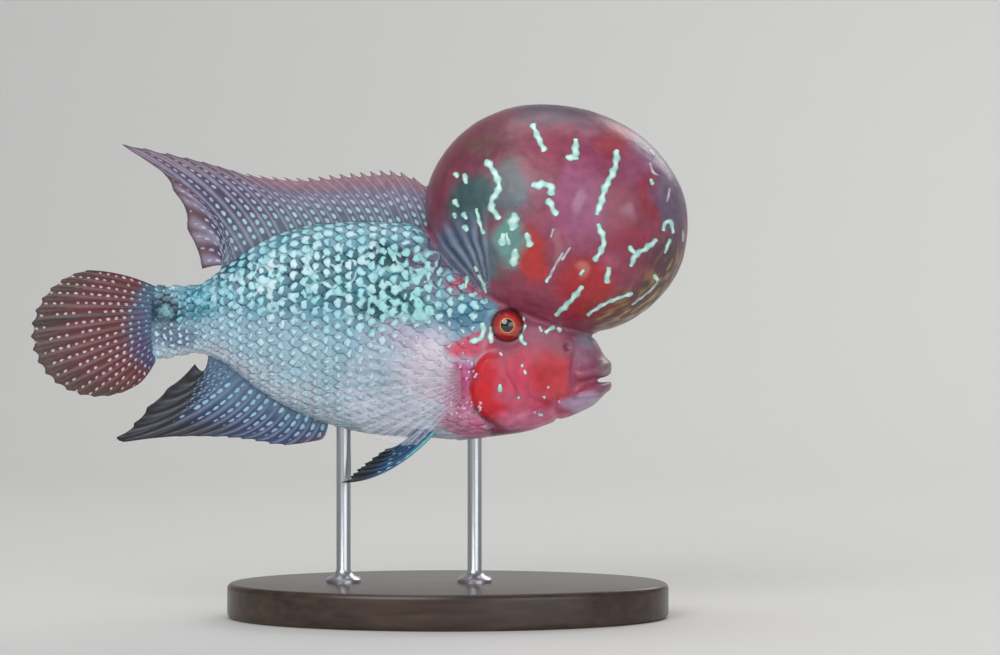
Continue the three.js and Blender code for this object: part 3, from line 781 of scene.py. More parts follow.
def wetGrainGroup():  # mottling and fine relief that every wet surface shares
    inputs = {"Tone": "colour", "Mottle": 0.15, "Mottle scale": 900.0, "Cells": 0.0, "Grain scale": 4000.0,
              "Relief": 0.2, "Lift": 0.0, "Lift height": 0.0, "Roughness": 0.3}
    outputs = {"Tone": "Color", "Roughness": "Float", "Normal": "Vector"}
    group, given, made, node, link = newGroup("wetGrain", inputs, outputs)
    place = objectPlace(node)
    mottle = noiseAt(node, link, place, given["Mottle scale"], 3.0)["Fac"]
    grain = noiseAt(node, link, place, given["Grain scale"], 3.0)["Fac"]
    spread = ranged(node, link, mottle, 0.3, 0.7, -0.5, 0.5, False)
    cells = node("ShaderNodeTexVoronoi")
    cells.feature = "SMOOTH_F1"
    cells.inputs["Scale"].default_value = 520
    link(place, cells.inputs["Vector"])
    cell = ranged(node, link, cells.outputs["Distance"], 0.15, 0.7, 0.5, -0.5)
    amount = maths(node, link, "MULTIPLY_ADD", spread, given["Mottle"], 1.0)
    amount = maths(node, link, "MULTIPLY_ADD", cell, given["Cells"], amount)
    link(scaledBy(node, link, given["Tone"], amount), made["Tone"])
    link(maths(node, link, "MULTIPLY_ADD", spread, 0.12, given["Roughness"]), made["Roughness"])
    fineBump = node("ShaderNodeBump")
    fineBump.inputs["Distance"].default_value = 0.0001
    link(given["Relief"], fineBump.inputs["Strength"])
    link(maths(node, link, "MULTIPLY_ADD", cell, given["Cells"], grain), fineBump.inputs["Height"])
    bump = node("ShaderNodeBump")
    bump.inputs["Strength"].default_value = 1.0
    link(given["Lift height"], bump.inputs["Distance"])
    link(given["Lift"], bump.inputs["Height"])
    link(fineBump.outputs["Normal"], bump.inputs["Normal"])
    link(bump.outputs["Normal"], made["Normal"])
    return group


def pearlGroup():  # one soft blotch on a scale, and the worm-like strokes that cross several scales
    inputs = {"Leaf": None, "Size": None, "Shape": None, "Link": 0.0, "Warp": 1.5, "Warp scale": 900.0,
              "Worm scale": 400.0, "Worm width": 0.12}
    group, given, made, node, link = newGroup("pearlPatch", inputs, {"Mask": "Float", "Heart": "Float"})
    place = objectPlace(node)
    warp = noiseAt(node, link, place, given["Warp scale"], 1.0)["Color"]
    warp = scaledBy(node, link, vectors(node, link, "SUBTRACT", warp, (0.5, 0.5, 0.5)), given["Warp"])
    leaf = vectors(node, link, "SUBTRACT", given["Leaf"], (0.17, 0, 0))
    leaf = vectors(node, link, "MULTIPLY", leaf, given["Size"])
    leaf = vectors(node, link, "ADD", leaf, vectors(node, link, "MULTIPLY", warp, (1, 1, 0)))
    shape = splitOf(node, link, given["Shape"])  # half length, half width and turn of the blotch
    turn = node("ShaderNodeVectorRotate")
    turn.rotation_type = "Z_AXIS"
    link(leaf, turn.inputs["Vector"])
    link(shape["Z"], turn.inputs["Angle"])
    away = vectors(node, link, "DIVIDE", turn.outputs[0], joinOf(node, link, shape["X"], shape["Y"], 1))
    far = vectors(node, link, "LENGTH", vectors(node, link, "MULTIPLY", away, (1, 1, 0)))
    dot = ranged(node, link, far, 0.78, 1.22, 1.0, 0.0)
    heart = ranged(node, link, far, 0.2, 1.0, 1.0, 0.0)
    worm = noiseAt(node, link, place, given["Worm scale"], 0.0, 0.4)["Fac"]
    line = maths(node, link, "ABSOLUTE", maths(node, link, "SUBTRACT", worm, 0.5))
    line = maths(node, link, "DIVIDE", line, given["Worm width"])
    line = ranged(node, link, line, 0.55, 1.1, 1.0, 0.0)
    broken = ranged(node, link, noiseAt(node, link, place, 620.0)["Fac"], 0.4, 0.48)
    line = maths(node, link, "MULTIPLY", maths(node, link, "MULTIPLY", line, broken), given["Link"])
    link(maths(node, link, "MAXIMUM", dot, line), made["Mask"])
    link(maths(node, link, "MAXIMUM", heart, line), made["Heart"])
    return group


def dashGroup():  # rows of short strokes between the rays of a fin
    inputs = {"Place": None, "Amount": 1.0, "Pitch": 1.6, "Half length": 0.5, "Half width": 0.2,
              "Missing": 0.1}
    group, given, made, node, link = newGroup("rayDashes", inputs, {"Mask": "Float", "Chance": "Float"})

    def fromMiddle(value, cell):
        return maths(node, link, "SUBTRACT", maths(node, link, "SUBTRACT", value, cell), 0.5)

    def halfSize(key):
        return maths(node, link, "MAXIMUM", maths(node, link, "MULTIPLY", given[key], given["Amount"]), 0.001)

    warp = noiseAt(node, link, objectPlace(node), 1500.0, 1.0)["Color"]
    wander = splitOf(node, link, vectors(node, link, "SUBTRACT", warp, (0.5, 0.5, 0.5)))
    place = splitOf(node, link, given["Place"])  # ray's number, way along it, gap to the next ray
    row = maths(node, link, "FLOOR", place["X"])
    across = maths(node, link, "MULTIPLY", fromMiddle(place["X"], row), place["Z"])
    across = maths(node, link, "MULTIPLY_ADD", wander["X"], 0.3, across)
    start = node("ShaderNodeTexWhiteNoise")
    start.noise_dimensions = "1D"
    link(row, start.inputs["W"])
    step = maths(node, link, "DIVIDE", place["Y"], given["Pitch"])
    step = maths(node, link, "MULTIPLY_ADD", start.outputs["Value"], 0.8, step)
    cell = maths(node, link, "FLOOR", step)
    run = maths(node, link, "MULTIPLY", fromMiddle(step, cell), given["Pitch"])
    run = maths(node, link, "MULTIPLY_ADD", wander["Y"], 0.5, run)
    chance = node("ShaderNodeTexWhiteNoise")
    link(joinOf(node, link, row, cell), chance.inputs["Vector"])
    across = maths(node, link, "DIVIDE", across, halfSize("Half width"))
    run = maths(node, link, "DIVIDE", run, halfSize("Half length"))
    far = vectors(node, link, "LENGTH", joinOf(node, link, across, run))
    mask = ranged(node, link, far, 0.75, 1.25, 1.0, 0.0)
    kept = maths(node, link, "GREATER_THAN", chance.outputs["Value"], given["Missing"])
    shown = ranged(node, link, given["Amount"], 0.1, 0.35)
    mask = maths(node, link, "MULTIPLY", maths(node, link, "MULTIPLY", mask, kept), shown)
    link(mask, made["Mask"])
    link(chance.outputs["Value"], made["Chance"])
    return group


def spaced(key):  # halfLength names the socket "Half length"
    return "".join(" " + c.lower() if c.isupper() else c for c in key).capitalize()


def wetLook(shader, node, link, colour, lift=None, **values):
    wet = node("ShaderNodeGroup")
    wet.node_tree = grainGroup
    link(colour, wet.inputs["Tone"])
    for key, value in values.items():
        wet.inputs[spaced(key)].default_value = value
    if lift is not None:
        link(lift, wet.inputs["Lift"])
    link(wet.outputs["Tone"], shader.inputs["Base Color"])
    link(wet.outputs["Roughness"], shader.inputs["Roughness"])
    link(wet.outputs["Normal"], shader.inputs["Normal"])


def skinFinish():
    made, shader, node, link = newFinish("wetSkin", **{
        "Subsurface Weight": 0.15, "Subsurface Scale": 0.001, "Coat Weight": 0.22, "Coat Roughness": 0.22})
    tone = readAttribute(node, "tone")
    wetLook(shader, node, link, tone, mottle=0.24, cells=0.1, relief=0.5, roughness=0.36)
    return made


def scaleFinish():
    made, shader, node, link = newFinish("scaleFinish", **{"Coat Weight": 0.2, "Coat Roughness": 0.2})
    rim = ranged(node, link, readAttribute(node, "rim", "Fac"), 0.5, 0.95)
    rim = maths(node, link, "MULTIPLY", rim, readAttribute(node, "edgeShare", "Fac"))
    ground = blended(node, link, "MULTIPLY", rim, readAttribute(node, "tone"), (0.28, 0.36, 0.44, 1))
    pearl = node("ShaderNodeGroup")
    pearl.node_tree = pearls
    for key, name in (("Leaf", "leaf"), ("Size", "grow"), ("Shape", "pearl")):
        link(readAttribute(node, name, "Vector"), pearl.inputs[key])
    link(readAttribute(node, "linked", "Fac"), pearl.inputs["Link"])
    bright = readAttribute(node, "pearlTone")
    dim = blended(node, link, "MULTIPLY", 1.0, bright, (0.62, 0.8, 0.84, 1))
    inner = blended(node, link, "MIX", pearl.outputs["Heart"], dim, bright)
    mask = pearl.outputs["Mask"]
    colour = blended(node, link, "MIX", mask, ground, inner)
    wetLook(shader, node, link, colour, mask, mottle=0.22, relief=0.25, roughness=0.34, liftHeight=0.00016)
    return made


def markFinish():
    made, shader, node, link = newFinish("markFinish", **{"Coat Weight": 0.25, "Coat Roughness": 0.2})
    wetLook(shader, node, link, readAttribute(node, "tone"), mottle=0.12, relief=0.25, roughness=0.34)
    link(readAttribute(node, "cover", "Fac"), shader.inputs["Alpha"])
    return made


def finFinish(name, **dashes):
    made, shader, node, link = newFinish(name, **{"Coat Weight": 0.12, "Coat Roughness": 0.2})
    strokes = node("ShaderNodeGroup")
    strokes.node_tree = rayDashes
    for key, value in dashes.items():
        strokes.inputs[spaced(key)].default_value = value
    link(readAttribute(node, "place", "Vector"), strokes.inputs["Place"])
    link(readAttribute(node, "dash", "Fac"), strokes.inputs["Amount"])
    mask = strokes.outputs["Mask"]
    strength = ranged(node, link, strokes.outputs["Chance"], 0.0, 1.0, 0.7, 1.0, False)
    share = maths(node, link, "MULTIPLY", mask, strength)
    colour = blended(node, link, "MIX", share, readAttribute(node, "tone"), readAttribute(node, "dashTone"))
    wetLook(shader, node, link, colour, mask, mottle=0.3, relief=0.35, roughness=0.4, liftHeight=0.0001)
    link(maths(node, link, "MAXIMUM", readAttribute(node, "cover", "Fac"), mask), shader.inputs["Alpha"])
    return made


grainGroup = wetGrainGroup()
pearls = pearlGroup()
rayDashes = dashGroup()
finishes = {
    "skin": skinFinish(), "scale": scaleFinish(), "mark": markFinish(),
    "dorsal": finFinish("dorsalFinish", pitch=1.6, halfLength=0.56, halfWidth=0.36, missing=0.05),
    "anal": finFinish("analFinish", pitch=1.6, halfLength=0.6, halfWidth=0.33, missing=0.08),
    "caudal": finFinish("caudalFinish", pitch=1.4, halfLength=0.36, halfWidth=0.28, missing=0.16),
    "pectoral": finFinish("pectoralFinish", pitch=1.6, halfLength=0.3, halfWidth=0.1, missing=1.0),
    "pelvic": finFinish("pelvicFinish", pitch=1.9, halfLength=0.6, halfWidth=0.26, missing=0.3),
}
print("finishes")

skin = makeSkin()
skin.data.materials.append(finishes["skin"])
skinTree = BVHTree.FromObject(skin, bpy.context.evaluated_depsgraph_get())
outerTrees = [skinTree]  # the scales join it below


def ontoSkin(point):
    at, normal, _, _ = skinTree.find_nearest(Vector(point))
    return np.array(at), np.array(normal)


def bodyUv(x, angle):  # the place of a root on an unrolled body
    side = 0.0 if angle >= 0 else 0.5
    return (side + 0.01 + 0.48 * (x + 60) / 100, 0.02 + 0.6 * abs(angle) / math.pi)


# Rows of scales and the pearl on each. The tail's values take over between the two places given as toTail
scaleRows = {
    "front": 13.0, "end": -50.8, "toTail": (-25, -48), "shrink": 0.035, "seed": 5,
    "pitch": 1.92, "tailPitch": 1.36, "height": 1.95, "tailHeight": 1.34, "rows": (-22, 26),
}
scaleSize = {
    "columns": 5, "rows": 5, "wide": 1.22, "long": 1.62, "lift": 0.075, "firstLift": 0.05,
    "thickness": 0.1, "crown": 0.06, "patch": 0.003, "seed": 3,
}
pearlTones = {
    "white": linear(206, 232, 238), "cyan": linear(140, 220, 228), "blue": linear(110, 186, 216),
    "pale": linear(206, 228, 238), "pink": linear(236, 216, 228), "mint": linear(150, 226, 214),
    "teal": linear(70, 172, 190),
}
tailRing = {"spot": (-49.0, 57.2, 2.6, 2.9), "ring": (-43.3, 57.8, 3.6, 3.6)}  # middle and half sizes


def between(low, high, value):  # smoothStep for one value
    return float(smoothStep(low, high, value))


def bareSkin(x, z):  # the gill cover, the eye's surroundings and all before them
    front = slitAt(z) + (0.8 if z > gill["z"] else 2.4)
    nearEye = math.hypot(x - eye["x"], z - eye["z"]) < eye["opening"] + 1.5
    return gillShare(x, z) < 1.02 or x > front or nearEye


def chestShare(x, z):
    return between(-13, -2, x) * between(57, 52, z)


def rowSize(key, x):
    last = scaleRows["tail" + key.capitalize()]
    return scaleRows[key] + (last - scaleRows[key]) * between(*scaleRows["toTail"], x)


def scaleColumns():
    x = scaleRows["front"]
    while x > scaleRows["end"]:
        yield x
        x -= rowSize("pitch", x)


def scaleRoots():
    rng = random.Random(scaleRows["seed"])
    angles = np.linspace(0.0, math.pi, 400)
    shrink = scaleRows["shrink"]
    found = []
    for sign in (1, -1):
        for i, x in enumerate(scaleColumns()):
            height, pitch = rowSize("height", x), rowSize("pitch", x)
            y, z = sectionPoint(np.full(len(angles), x), angles)
            length = np.concatenate([[0], np.cumsum(np.hypot(np.diff(y), np.diff(z)))])
            level = float(bodySize(x, "back")) * 0.5 + float(bodySize(x, "belly")) * 0.5
            middle = np.interp(-level, -z, length)
            for j in range(*scaleRows["rows"]):
                step = j + 0.5 * (i % 2)
                at = middle + height * (step - shrink * 0.5 * max(0.0, step) ** 2)
                if not 0.7 < at < length[-1] - 0.5 or shrink * step > 0.9:
                    continue
                angle = float(np.interp(at, length, angles))
                side, up = sectionPoint(x, angle)
                across = x + rng.uniform(-0.12, 0.12)
                point = np.array([across, sign * float(side), float(up) + rng.uniform(-0.08, 0.08)])
                if humpShare(point[None])[0] < 1.03 or bareSkin(x, point[2]):
                    continue
                on, normal = ontoSkin(point)
                back = np.array([-1.0, 0, 0])
                back -= normal * back.dot(normal)
                back /= np.linalg.norm(back)
                tall = height * (1 - shrink * max(0.0, min(step, 12)))
                found.append({"at": on, "outward": normal, "lie": back, "pitch": pitch, "height": tall,
                              "uv": bodyUv(x, sign * angle), "chance": rng.random(), "sign": sign})
    return found


def pearlLook(root, rng):  # the blotch's half sizes and turn, its colour, and the strength of the strokes
    x, _, z = root["at"]
    level = float(flankLevel(x, z))
    middle = between(0.5, 0.58, level) * between(0.93, 0.84, level) * between(3, -4, x)
    upper, low = between(0.86, 0.93, level), between(0.5, 0.38, level)
    chest = chestShare(x, z)
    bare = max(chest, between(-1, 4, x) * between(60, 54, z))
    size = root["height"] * (0.27 + 0.13 * rng.random())
    size *= (1 - 0.18 * low) * (1 + 0.12 * upper) * (1 - 0.55 * chest)
    size *= 0.3 if rng.random() < 0.35 * bare else 1.0
    far = {key: math.hypot((x - cx) / rx, (z - cz) / rz) for key, (cx, cz, rx, rz) in tailRing.items()}
    spot, ring = between(1.5, 0.8, far["spot"]), between(1.5, 0.7, far["ring"])
    size *= (1 - 0.1 * middle) * (1 - 0.75 * spot) * (1 - 0.15 * ring)
    turn = rng.gauss(0.9 + 0.55 * middle if level > 0.5 else 1.35, 0.5 - 0.15 * middle) * root["sign"]
    longer = 1.02 + 0.36 * rng.random() + middle * (0.1 + 0.45 * rng.random())
    tone = mixed(pearlTones["cyan"], pearlTones["white"], 0.3 + 0.7 * root["chance"])
    for key, share in (("mint", 0.5 * between(-16, -6, x) * middle),
                       ("blue", 0.45 * between(-28, -42, x) * (1 - 0.6 * root["chance"])),
                       ("teal", 0.7 * max(ring, spot)), ("pale", 0.8 * low), ("pink", 0.85 * chest)):
        tone = mixed(tone, pearlTones[key], share)
    linked = middle * (0.75 + 0.25 * rng.random()) + 0.36 * low * (1 - chest) * between(-34, -26, x)
    edgeShare = 0.5 + 0.15 * middle - 0.25 * upper - 0.1 * low - 0.25 * chest
    return (size * longer, size, turn), tone, min(linked * (1 - spot), 1.0), edgeShare


def asScale(root, rng):
    x, _, z = root["at"]
    first = bareSkin(x + root["pitch"], z)
    lift = scaleSize["lift"] * (1 - 0.6 * chestShare(x, z)) + rng.uniform(-0.02, 0.02)
    lift += scaleSize["firstLift"] if first else 0
    normal, back = root["outward"], root["lie"]
    pearl, pearlTone, linked, edgeShare = pearlLook(root, rng)
    return {
        "at": root["at"] - back * root["pitch"] * 0.62 - normal * (0.13 if first else 0.02),
        "outward": normal - back * lift, "lie": back + normal * lift,
        "grow": (root["pitch"] * scaleSize["long"], root["height"] * scaleSize["wide"], 1.0),
        "uv": root["uv"], "shade": 0.93 + 0.14 * rng.random(),
        "pearl": pearl, "pearlTone": pearlTone, "linked": linked, "edgeShare": edgeShare,
    }


scatter = scatterTree("scatterOnSkin", scaleSize["patch"])
scaleShape = dishShape("scaleShape", scaleSize)
roots = scaleRoots()
rng = random.Random(scaleSize["seed"])
for sign, name in ((-1, "scales_right"), (1, "scales_left")):
    scales = [asScale(root, rng) for root in roots if root["sign"] == sign]
    coat = scattered(name, scatter, scaleShape, finishes["scale"], scales)
    shades = np.empty(len(coat.data.vertices), np.float32)
    coat.data.attributes["shade"].data.foreach_get("value", shades)
    setColour(coat, "tone", skinColour(pointsOf(coat)) * shades[:, None])
    outerTrees.append(BVHTree.FromObject(coat, bpy.context.evaluated_depsgraph_get()))
    finished(coat)
bpy.data.objects.remove(scaleShape)


# Bright marks on the hump and the face: width, then the points they pass, all in pixels of the picture
humpMarks = [
    (6.5, (532, 129), (537, 142), (543, 155)), (7.5, (574, 145), (573, 163)), (6, (575, 163), (565, 162)),
    (7, (614, 155), (613, 172), (601, 193), (599, 204), (594, 217)),
    (6, (595, 228), (602, 243), (598, 254), (592, 262)),
    (7, (487, 165), (497, 180), (500, 193), (491, 204), (492, 213), (499, 221)),
    (8, (532, 190), (549, 188), (550, 198)), (7, (547, 204), (554, 218)), (7, (526, 237), (529, 248)),
    (6, (653, 242), (642, 251), (632, 256), (628, 267)), (5, (633, 257), (626, 249)),
    (5, (660, 232), (662, 223), (669, 224), (670, 234)), (4, (667, 241), (662, 254)),
    (6.5, (606, 270), (604, 283)), (6, (580, 288), (568, 303), (555, 315)),
    (4, (630, 294), (612, 300), (599, 306), (586, 315)), (4.5, (652, 276), (655, 281)),
    (3, (655, 282), (650, 290), (630, 305)), (3, (647, 166), (650, 176), (655, 178)),
    (5.5, (648, 183), (649, 187)), (3.2, (667, 191), (664, 204)), (5, (456, 176), (458, 180)),
    (6, (465, 178), (467, 186)), (5, (455, 203), (459, 209)), (5, (455, 216), (456, 220)),
    (5, (464, 216), (467, 221)), (5.5, (464, 229), (468, 232)), (4, (477, 212), (480, 226), (484, 236)),
    (11, (514, 219), (512, 231)), (9, (503, 238), (502, 246)), (9, (515, 253), (513, 266)),
    (4, (506, 236), (509, 247)), (3, (561, 255), (553, 268), (548, 279)), (3, (568, 250), (560, 262)),
    (4, (549, 277), (545, 283)), (4, (581, 272), (578, 276)), (2.5, (552, 232), (549, 240)),
    (3, (553, 105), (558, 118)), (3, (681, 231), (681, 242)), (2.6, (648, 152), (652, 158)),
]
faceMarks = [
    (6, (483, 324), (484, 334), (479, 340), (471, 341)), (5.5, (491, 328), (491, 342)),
    (3, (500, 352), (502, 355)), (5, (525, 326), (520, 331), (520, 339), (525, 344)),
    (5, (520, 318), (523, 320)), (4, (539, 327), (541, 331)), (5, (545, 332), (553, 327)),
    (4, (557, 328), (560, 331)), (3.5, (522, 364), (522, 366)), (4, (524, 370), (525, 373)),
    (5, (500, 384), (500, 390)), (4, (518, 396), (519, 397)), (3.6, (543, 396), (544, 397)),
    (3, (534, 411), (535, 412)), (3.6, (538, 414), (542, 414)), (3, (558, 400), (559, 402)),
    (2.6, (547, 386), (548, 387)), (4, (468, 277), (466, 288)), (4, (479, 276), (484, 285), (486, 293)),
    (3.6, (475, 268), (478, 272)),
]
markShape = {"step": 0.16, "offsets": (-1.0, -0.78, -0.4, 0.0, 0.4, 0.78, 1.0), "rise": 0.05, "depth": 0.12}
markTones = {
    "bright": (linear(120, 200, 190), linear(228, 252, 246)),  # edge and heart
    "greyPink": (linear(150, 140, 160), linear(214, 206, 214)),
    "whitePink": (linear(226, 150, 186), linear(250, 222, 234)),
}
farMarks = {"count": 30, "step": 9, "seed": 8}
specks = {"places": ((468, 408, 16, 8, 24), (469, 368, 9, 9, 9), (455, 392, 8, 12, 6)), "seed": 12}


def smoothed(stops):
    for _ in range(3):  # cut the corners
        cut = [stops[0]]
        for a, b in zip(stops, stops[1:]):
            cut += [a * 0.75 + b * 0.25, a * 0.25 + b * 0.75]
        stops = cut + [stops[-1]]
    return np.array(stops)


def ontoCoat(x, z, sign):  # the outermost place at x, z on one side, and the skin's normal there
    shots = [tree.ray_cast(Vector((x, sign * 60, z)), Vector((0, -sign, 0))) for tree in outerTrees]
    if shots[0][0] is None:
        return None, None
    nearest = min((shot for shot in shots if shot[0] is not None), key=lambda shot: shot[3])
    return np.array(nearest[0]), np.array(shots[0][1])


def markSheet(width, stops, sign, rng, tones):  # one raised mark that follows the skin, closed under it
    path = smoothed([np.array(fromPicture(*stop)) for stop in stops])
    lengths = np.concatenate([[0], np.cumsum(np.hypot(*np.diff(path, axis=0).T))])

    def onPath(at):
        return np.array([np.interp(at, lengths, path[:, 0]), np.interp(at, lengths, path[:, 1])])

    half = width / pictureScale / 2
    total = lengths[-1] + half * 1.2
    count = max(5, int(total / markShape["step"]))
    phase = [rng.uniform(0, 6.3) for _ in range(4)]
    tops, lows, colours, covers = [], [], [], []
    for k in range(count + 1):
        at = -half * 0.6 + total * k / count
        inside = min(max(at, 0), lengths[-1])
        way = onPath(inside + 0.2) - onPath(inside - 0.2)
        way = way / (np.hypot(*way) + 1e-9)
        middle = onPath(inside) + way * (at - inside)
        end = min(k, count - k) / count * total / half
        grow = half * math.sqrt(max(0.02, 1 - max(0.0, 1 - end) ** 2))
        grow *= 1 + 0.18 * math.sin(at * 2.3 + phase[0])
        left = grow * (1 + 0.22 * math.sin(at * 4.1 + phase[1]))
        right = grow * (1 + 0.22 * math.sin(at * 3.7 + phase[2]))
        for u in markShape["offsets"]:
            x, z = middle + np.array([-way[1], way[0]]) * u * (left if u > 0 else right)
            on, normal = ontoCoat(x, z, sign)
            if on is None:
                return None
            fade = (1 - abs(u)) if 0 < k < count else 0.0
            tops.append(on + normal * (0.012 + markShape["rise"] * min(1.0, 1.6 * fade)))
            lows.append(on - normal * markShape["depth"])
            heart = min(1.0, 1.5 * fade) * (0.72 + 0.28 * math.sin(at * 3.1 + phase[3]))
            colours.append(mixed(*tones, heart))
            covers.append(min(1.0, 0.25 + 2.2 * fade))
    return tops, lows, colours, covers, count


def makeMarks(name, marks, sign, seed, pale):  # the narrow ones take the pale pair of colours
    rng = random.Random(seed)
    points, faces, colours, covers = [], [], [], []
    for width, *stops in marks:
        made = markSheet(width, stops, sign, rng, markTones[pale if width < 3.3 else "bright"])
        if made is None:
            continue
        tops, lows, tones, shown, count = made
        faces += sheetFaces(count + 1, len(markShape["offsets"]), len(tops), len(points))
        points += tops + lows
        colours += tones + tones
        covers += shown + shown
    piece = newMesh(name, points, faces)
    setColour(piece, "tone", colours)
    setNumber(piece, "cover", covers)
    faceOut(piece)
    shaded(piece)
    piece.data.materials.append(finishes["mark"])
    print(name, len(faces))
    return finished(piece)


def driftingMarks():  # the other side's marks, like in kind but in other places
    rng = random.Random(farMarks["seed"])
    marks = []
    while len(marks) < farMarks["count"]:
        px, py = rng.uniform(450, 675), rng.uniform(118, 312)
        if math.hypot((px - 558) / 112, (py - 216) / 92) > 1:
            continue
        turn, stops = rng.uniform(0, math.pi), [(px, py)]
        for _ in range(rng.choice((1, 1, 2, 3, 4))):
            turn += rng.gauss(0, 0.6)
            px, py = px + farMarks["step"] * math.cos(turn), py + farMarks["step"] * math.sin(turn)
            stops.append((px, py))
        marks.append((rng.uniform(3.4, 7.5), *stops))
    return marks


def chestSpecks():  # the small pale dots behind and under the gill cover
    rng = random.Random(specks["seed"])
    marks = []
    for cx, cy, rx, ry, count in specks["places"]:
        for _ in range(count):
            px, py = cx + rx * rng.uniform(-1, 1), cy + ry * rng.uniform(-1, 1)
            width = rng.uniform(2.0, 3.2)
            marks.append((width, (px, py), (px - rng.uniform(0, 2), py + rng.uniform(0.5, 2.5))))
    return marks


for sign, side in ((-1, "right"), (1, "left")):
    onHump = humpMarks if sign < 0 else driftingMarks()
    makeMarks(f"hump_marks_{side}", onHump, sign, 41, "greyPink")
    makeMarks(f"face_marks_{side}", faceMarks + chestSpecks(), sign, 43, "whitePink")
print("marks")

# Fins. The sizes are half thicknesses at the root and the edge, and how far the web is cut between rays
finSizes = {
    "dorsal": {"rays": 28, "spines": 17, "rows": 44, "root": 0.34, "edge": 0.08, "ridge": 0.3,
               "ridgeEdge": 0.1, "notch": 0.1, "softNotch": 0.035, "fanned": 24, "from": 0.5, "to": -41.0,
               "sunk": 1.0},
    "anal": {"rays": 17, "spines": 7, "rows": 40, "root": 0.34, "edge": 0.08, "ridge": 0.3,
             "ridgeEdge": 0.1, "notch": 0.1, "softNotch": 0.035, "fanned": 12, "from": -20.6, "to": -41.2,
             "sunk": 1.0},
    "caudal": {"rays": 18, "spines": 0, "rows": 44, "root": 0.5, "edge": 0.07, "ridge": 0.26,
               "ridgeEdge": 0.08, "notch": 0.03, "softNotch": 0.03},
    "pectoral": {"rays": 12, "spines": 0, "rows": 36, "root": 0.2, "edge": 0.06, "ridge": 0.18,
                 "ridgeEdge": 0.06, "notch": 0.03, "softNotch": 0.03},
    "pelvic": {"rays": 6, "spines": 1, "rows": 40, "root": 0.3, "edge": 0.08, "ridge": 0.3, "ridgeEdge": 0.1,
               "notch": 0.06, "softNotch": 0.05},
}
perRay = 8  # steps from one ray to the next
dorsalTips = np.array([
    (0, -3.6, 78.4), (0.06, -7.4, 80.5), (0.25, -16.5, 80.6), (0.45, -26.5, 79.7),
    (0.6, -35.4, 80.6), (0.72, -43.5, 82.8), (0.8, -50.5, 84.4), (0.86, -56.3, 85.3),
    (0.9, -50.2, 81.2), (0.94, -46.2, 75.2), (0.97, -44.6, 69.6), (1, -42.4, 64.0),
])
analTips = np.array([
    (0, -22.6, 34.4), (0.12, -28.0, 33.6), (0.3, -35.2, 34.6), (0.48, -42.4, 35.1),
    (0.62, -49.5, 34.9), (0.72, -57.6, 34.2), (0.8, -54.6, 36.9), (0.88, -51.6, 40.4),
    (0.95, -47.4, 44.2), (1, -43.6, 47.6),
])
tailFan = {
    "x": -60.4, "z": 52.9, "length": 11.6, "height": 11.0, "from": 1.72, "to": 5.3, "top": 61.0, "low": 48.0,
}
breast = {"x": 1.6, "z": 44.4, "rootHeight": 4.6, "length": 20.5, "spread": 1.0, "droop": 0.28, "out": 0.2}
hip = {"x": -1.0, "z": 35.4, "rootLength": 4.0, "length": 19.0, "droop": 0.46, "out": 0.24, "side": 2.8}


def spread(s, x, y, z):  # a point for each s
    return np.stack([x + 0 * s, y + 0 * s, z + 0 * s], -1)


def edgeRoot(s, kind, key, sign):
    size = finSizes[kind]
    x = size["from"] + (size["to"] - size["from"]) * s
    return spread(s, x, 0, bodySize(x, key) + sign * size["sunk"])


def tipsAlong(tips, s):
    return spread(s, along(tips[:, 0], tips[:, 1], s), 0, along(tips[:, 0], tips[:, 2], s))


def dorsalShape(s, t):  # where the rays start and end, how they bow, and how the web sways
    bow = spread(s, 0.5 + 2.4 * s * s, 0, 0.4 + 1.2 * s * s)
    return edgeRoot(s, "dorsal", "back", -1), tipsAlong(dorsalTips, s), bow, 0.7 * t * t * np.sin(9 * s) * s


def analShape(s, t):
    bow = spread(s, 0.4, 0, -1.0 - 1.2 * s)
    return edgeRoot(s, "anal", "belly", 1), tipsAlong(analTips, s), bow, -0.6 * t * t * np.sin(7 * s) * s


def caudalShape(s, t):
    root = spread(s, body["x"][0] + 0.9, 0, tailFan["top"] + (tailFan["low"] - tailFan["top"]) * s)
    a = tailFan["from"] + (tailFan["to"] - tailFan["from"]) * s
    x, z = tailFan["x"] + tailFan["length"] * np.cos(a), tailFan["z"] + tailFan["height"] * np.sin(a)
    bow = spread(s, -1.4 * np.sin(math.pi * s) * s, 0, 1.3 * (0.5 - s))
    return root, spread(s, x, 0, z), bow, 0.5 * t * np.sin(6.3 * s)


def pectoralShape(sign):
    half = float(bodySize(breast["x"], "half"))

    def shape(s, t):
        level = breast["z"] + (0.5 - s) * breast["rootHeight"]
        root = spread(s, breast["x"] + 0.9, sign * (half - 0.55), level)
        a = breast["droop"] + (s - 0.5) * 2 * breast["spread"] * 0.72
        reach = breast["length"] * (1 - 0.34 * np.abs(s - 0.36) ** 1.2 * 2)
        out = sign * (half + 0.8 + reach * breast["out"])
        tip = spread(s, breast["x"] - reach * np.cos(a), out, breast["z"] - reach * np.sin(a))
        return root, tip, spread(s, 0, sign * 0.9, 0), 0.25 * t * np.sin(8 * s)

    return shape


def pelvicShape(sign):
    def shape(s, t):
        root = spread(s, hip["x"] - s * hip["rootLength"], sign * (hip["side"] + 0.5 * s), hip["z"] + 1.6)
        a = hip["droop"] - s * 0.1
        reach = hip["length"] * (1 - 0.5 * s**0.8)
        out = sign * (hip["side"] + reach * hip["out"] + s * 1.4)
        tip = spread(s, hip["x"] - s * 1.2 - reach * np.cos(a), out, hip["z"] + 0.6 - reach * np.sin(a))
        return root, tip, spread(s, 0, 0, -2.5 + 1.5 * s), 0 * s

    return shape


def finPlace(shape, across, s, t):
    root, tip, bow, sway = shape(s, t)
    t3 = np.asarray(t, float)[..., None]
    return root + (tip - root) * t3 + bow * 4 * t3 * (1 - t3) + across * np.asarray(sway)[..., None]


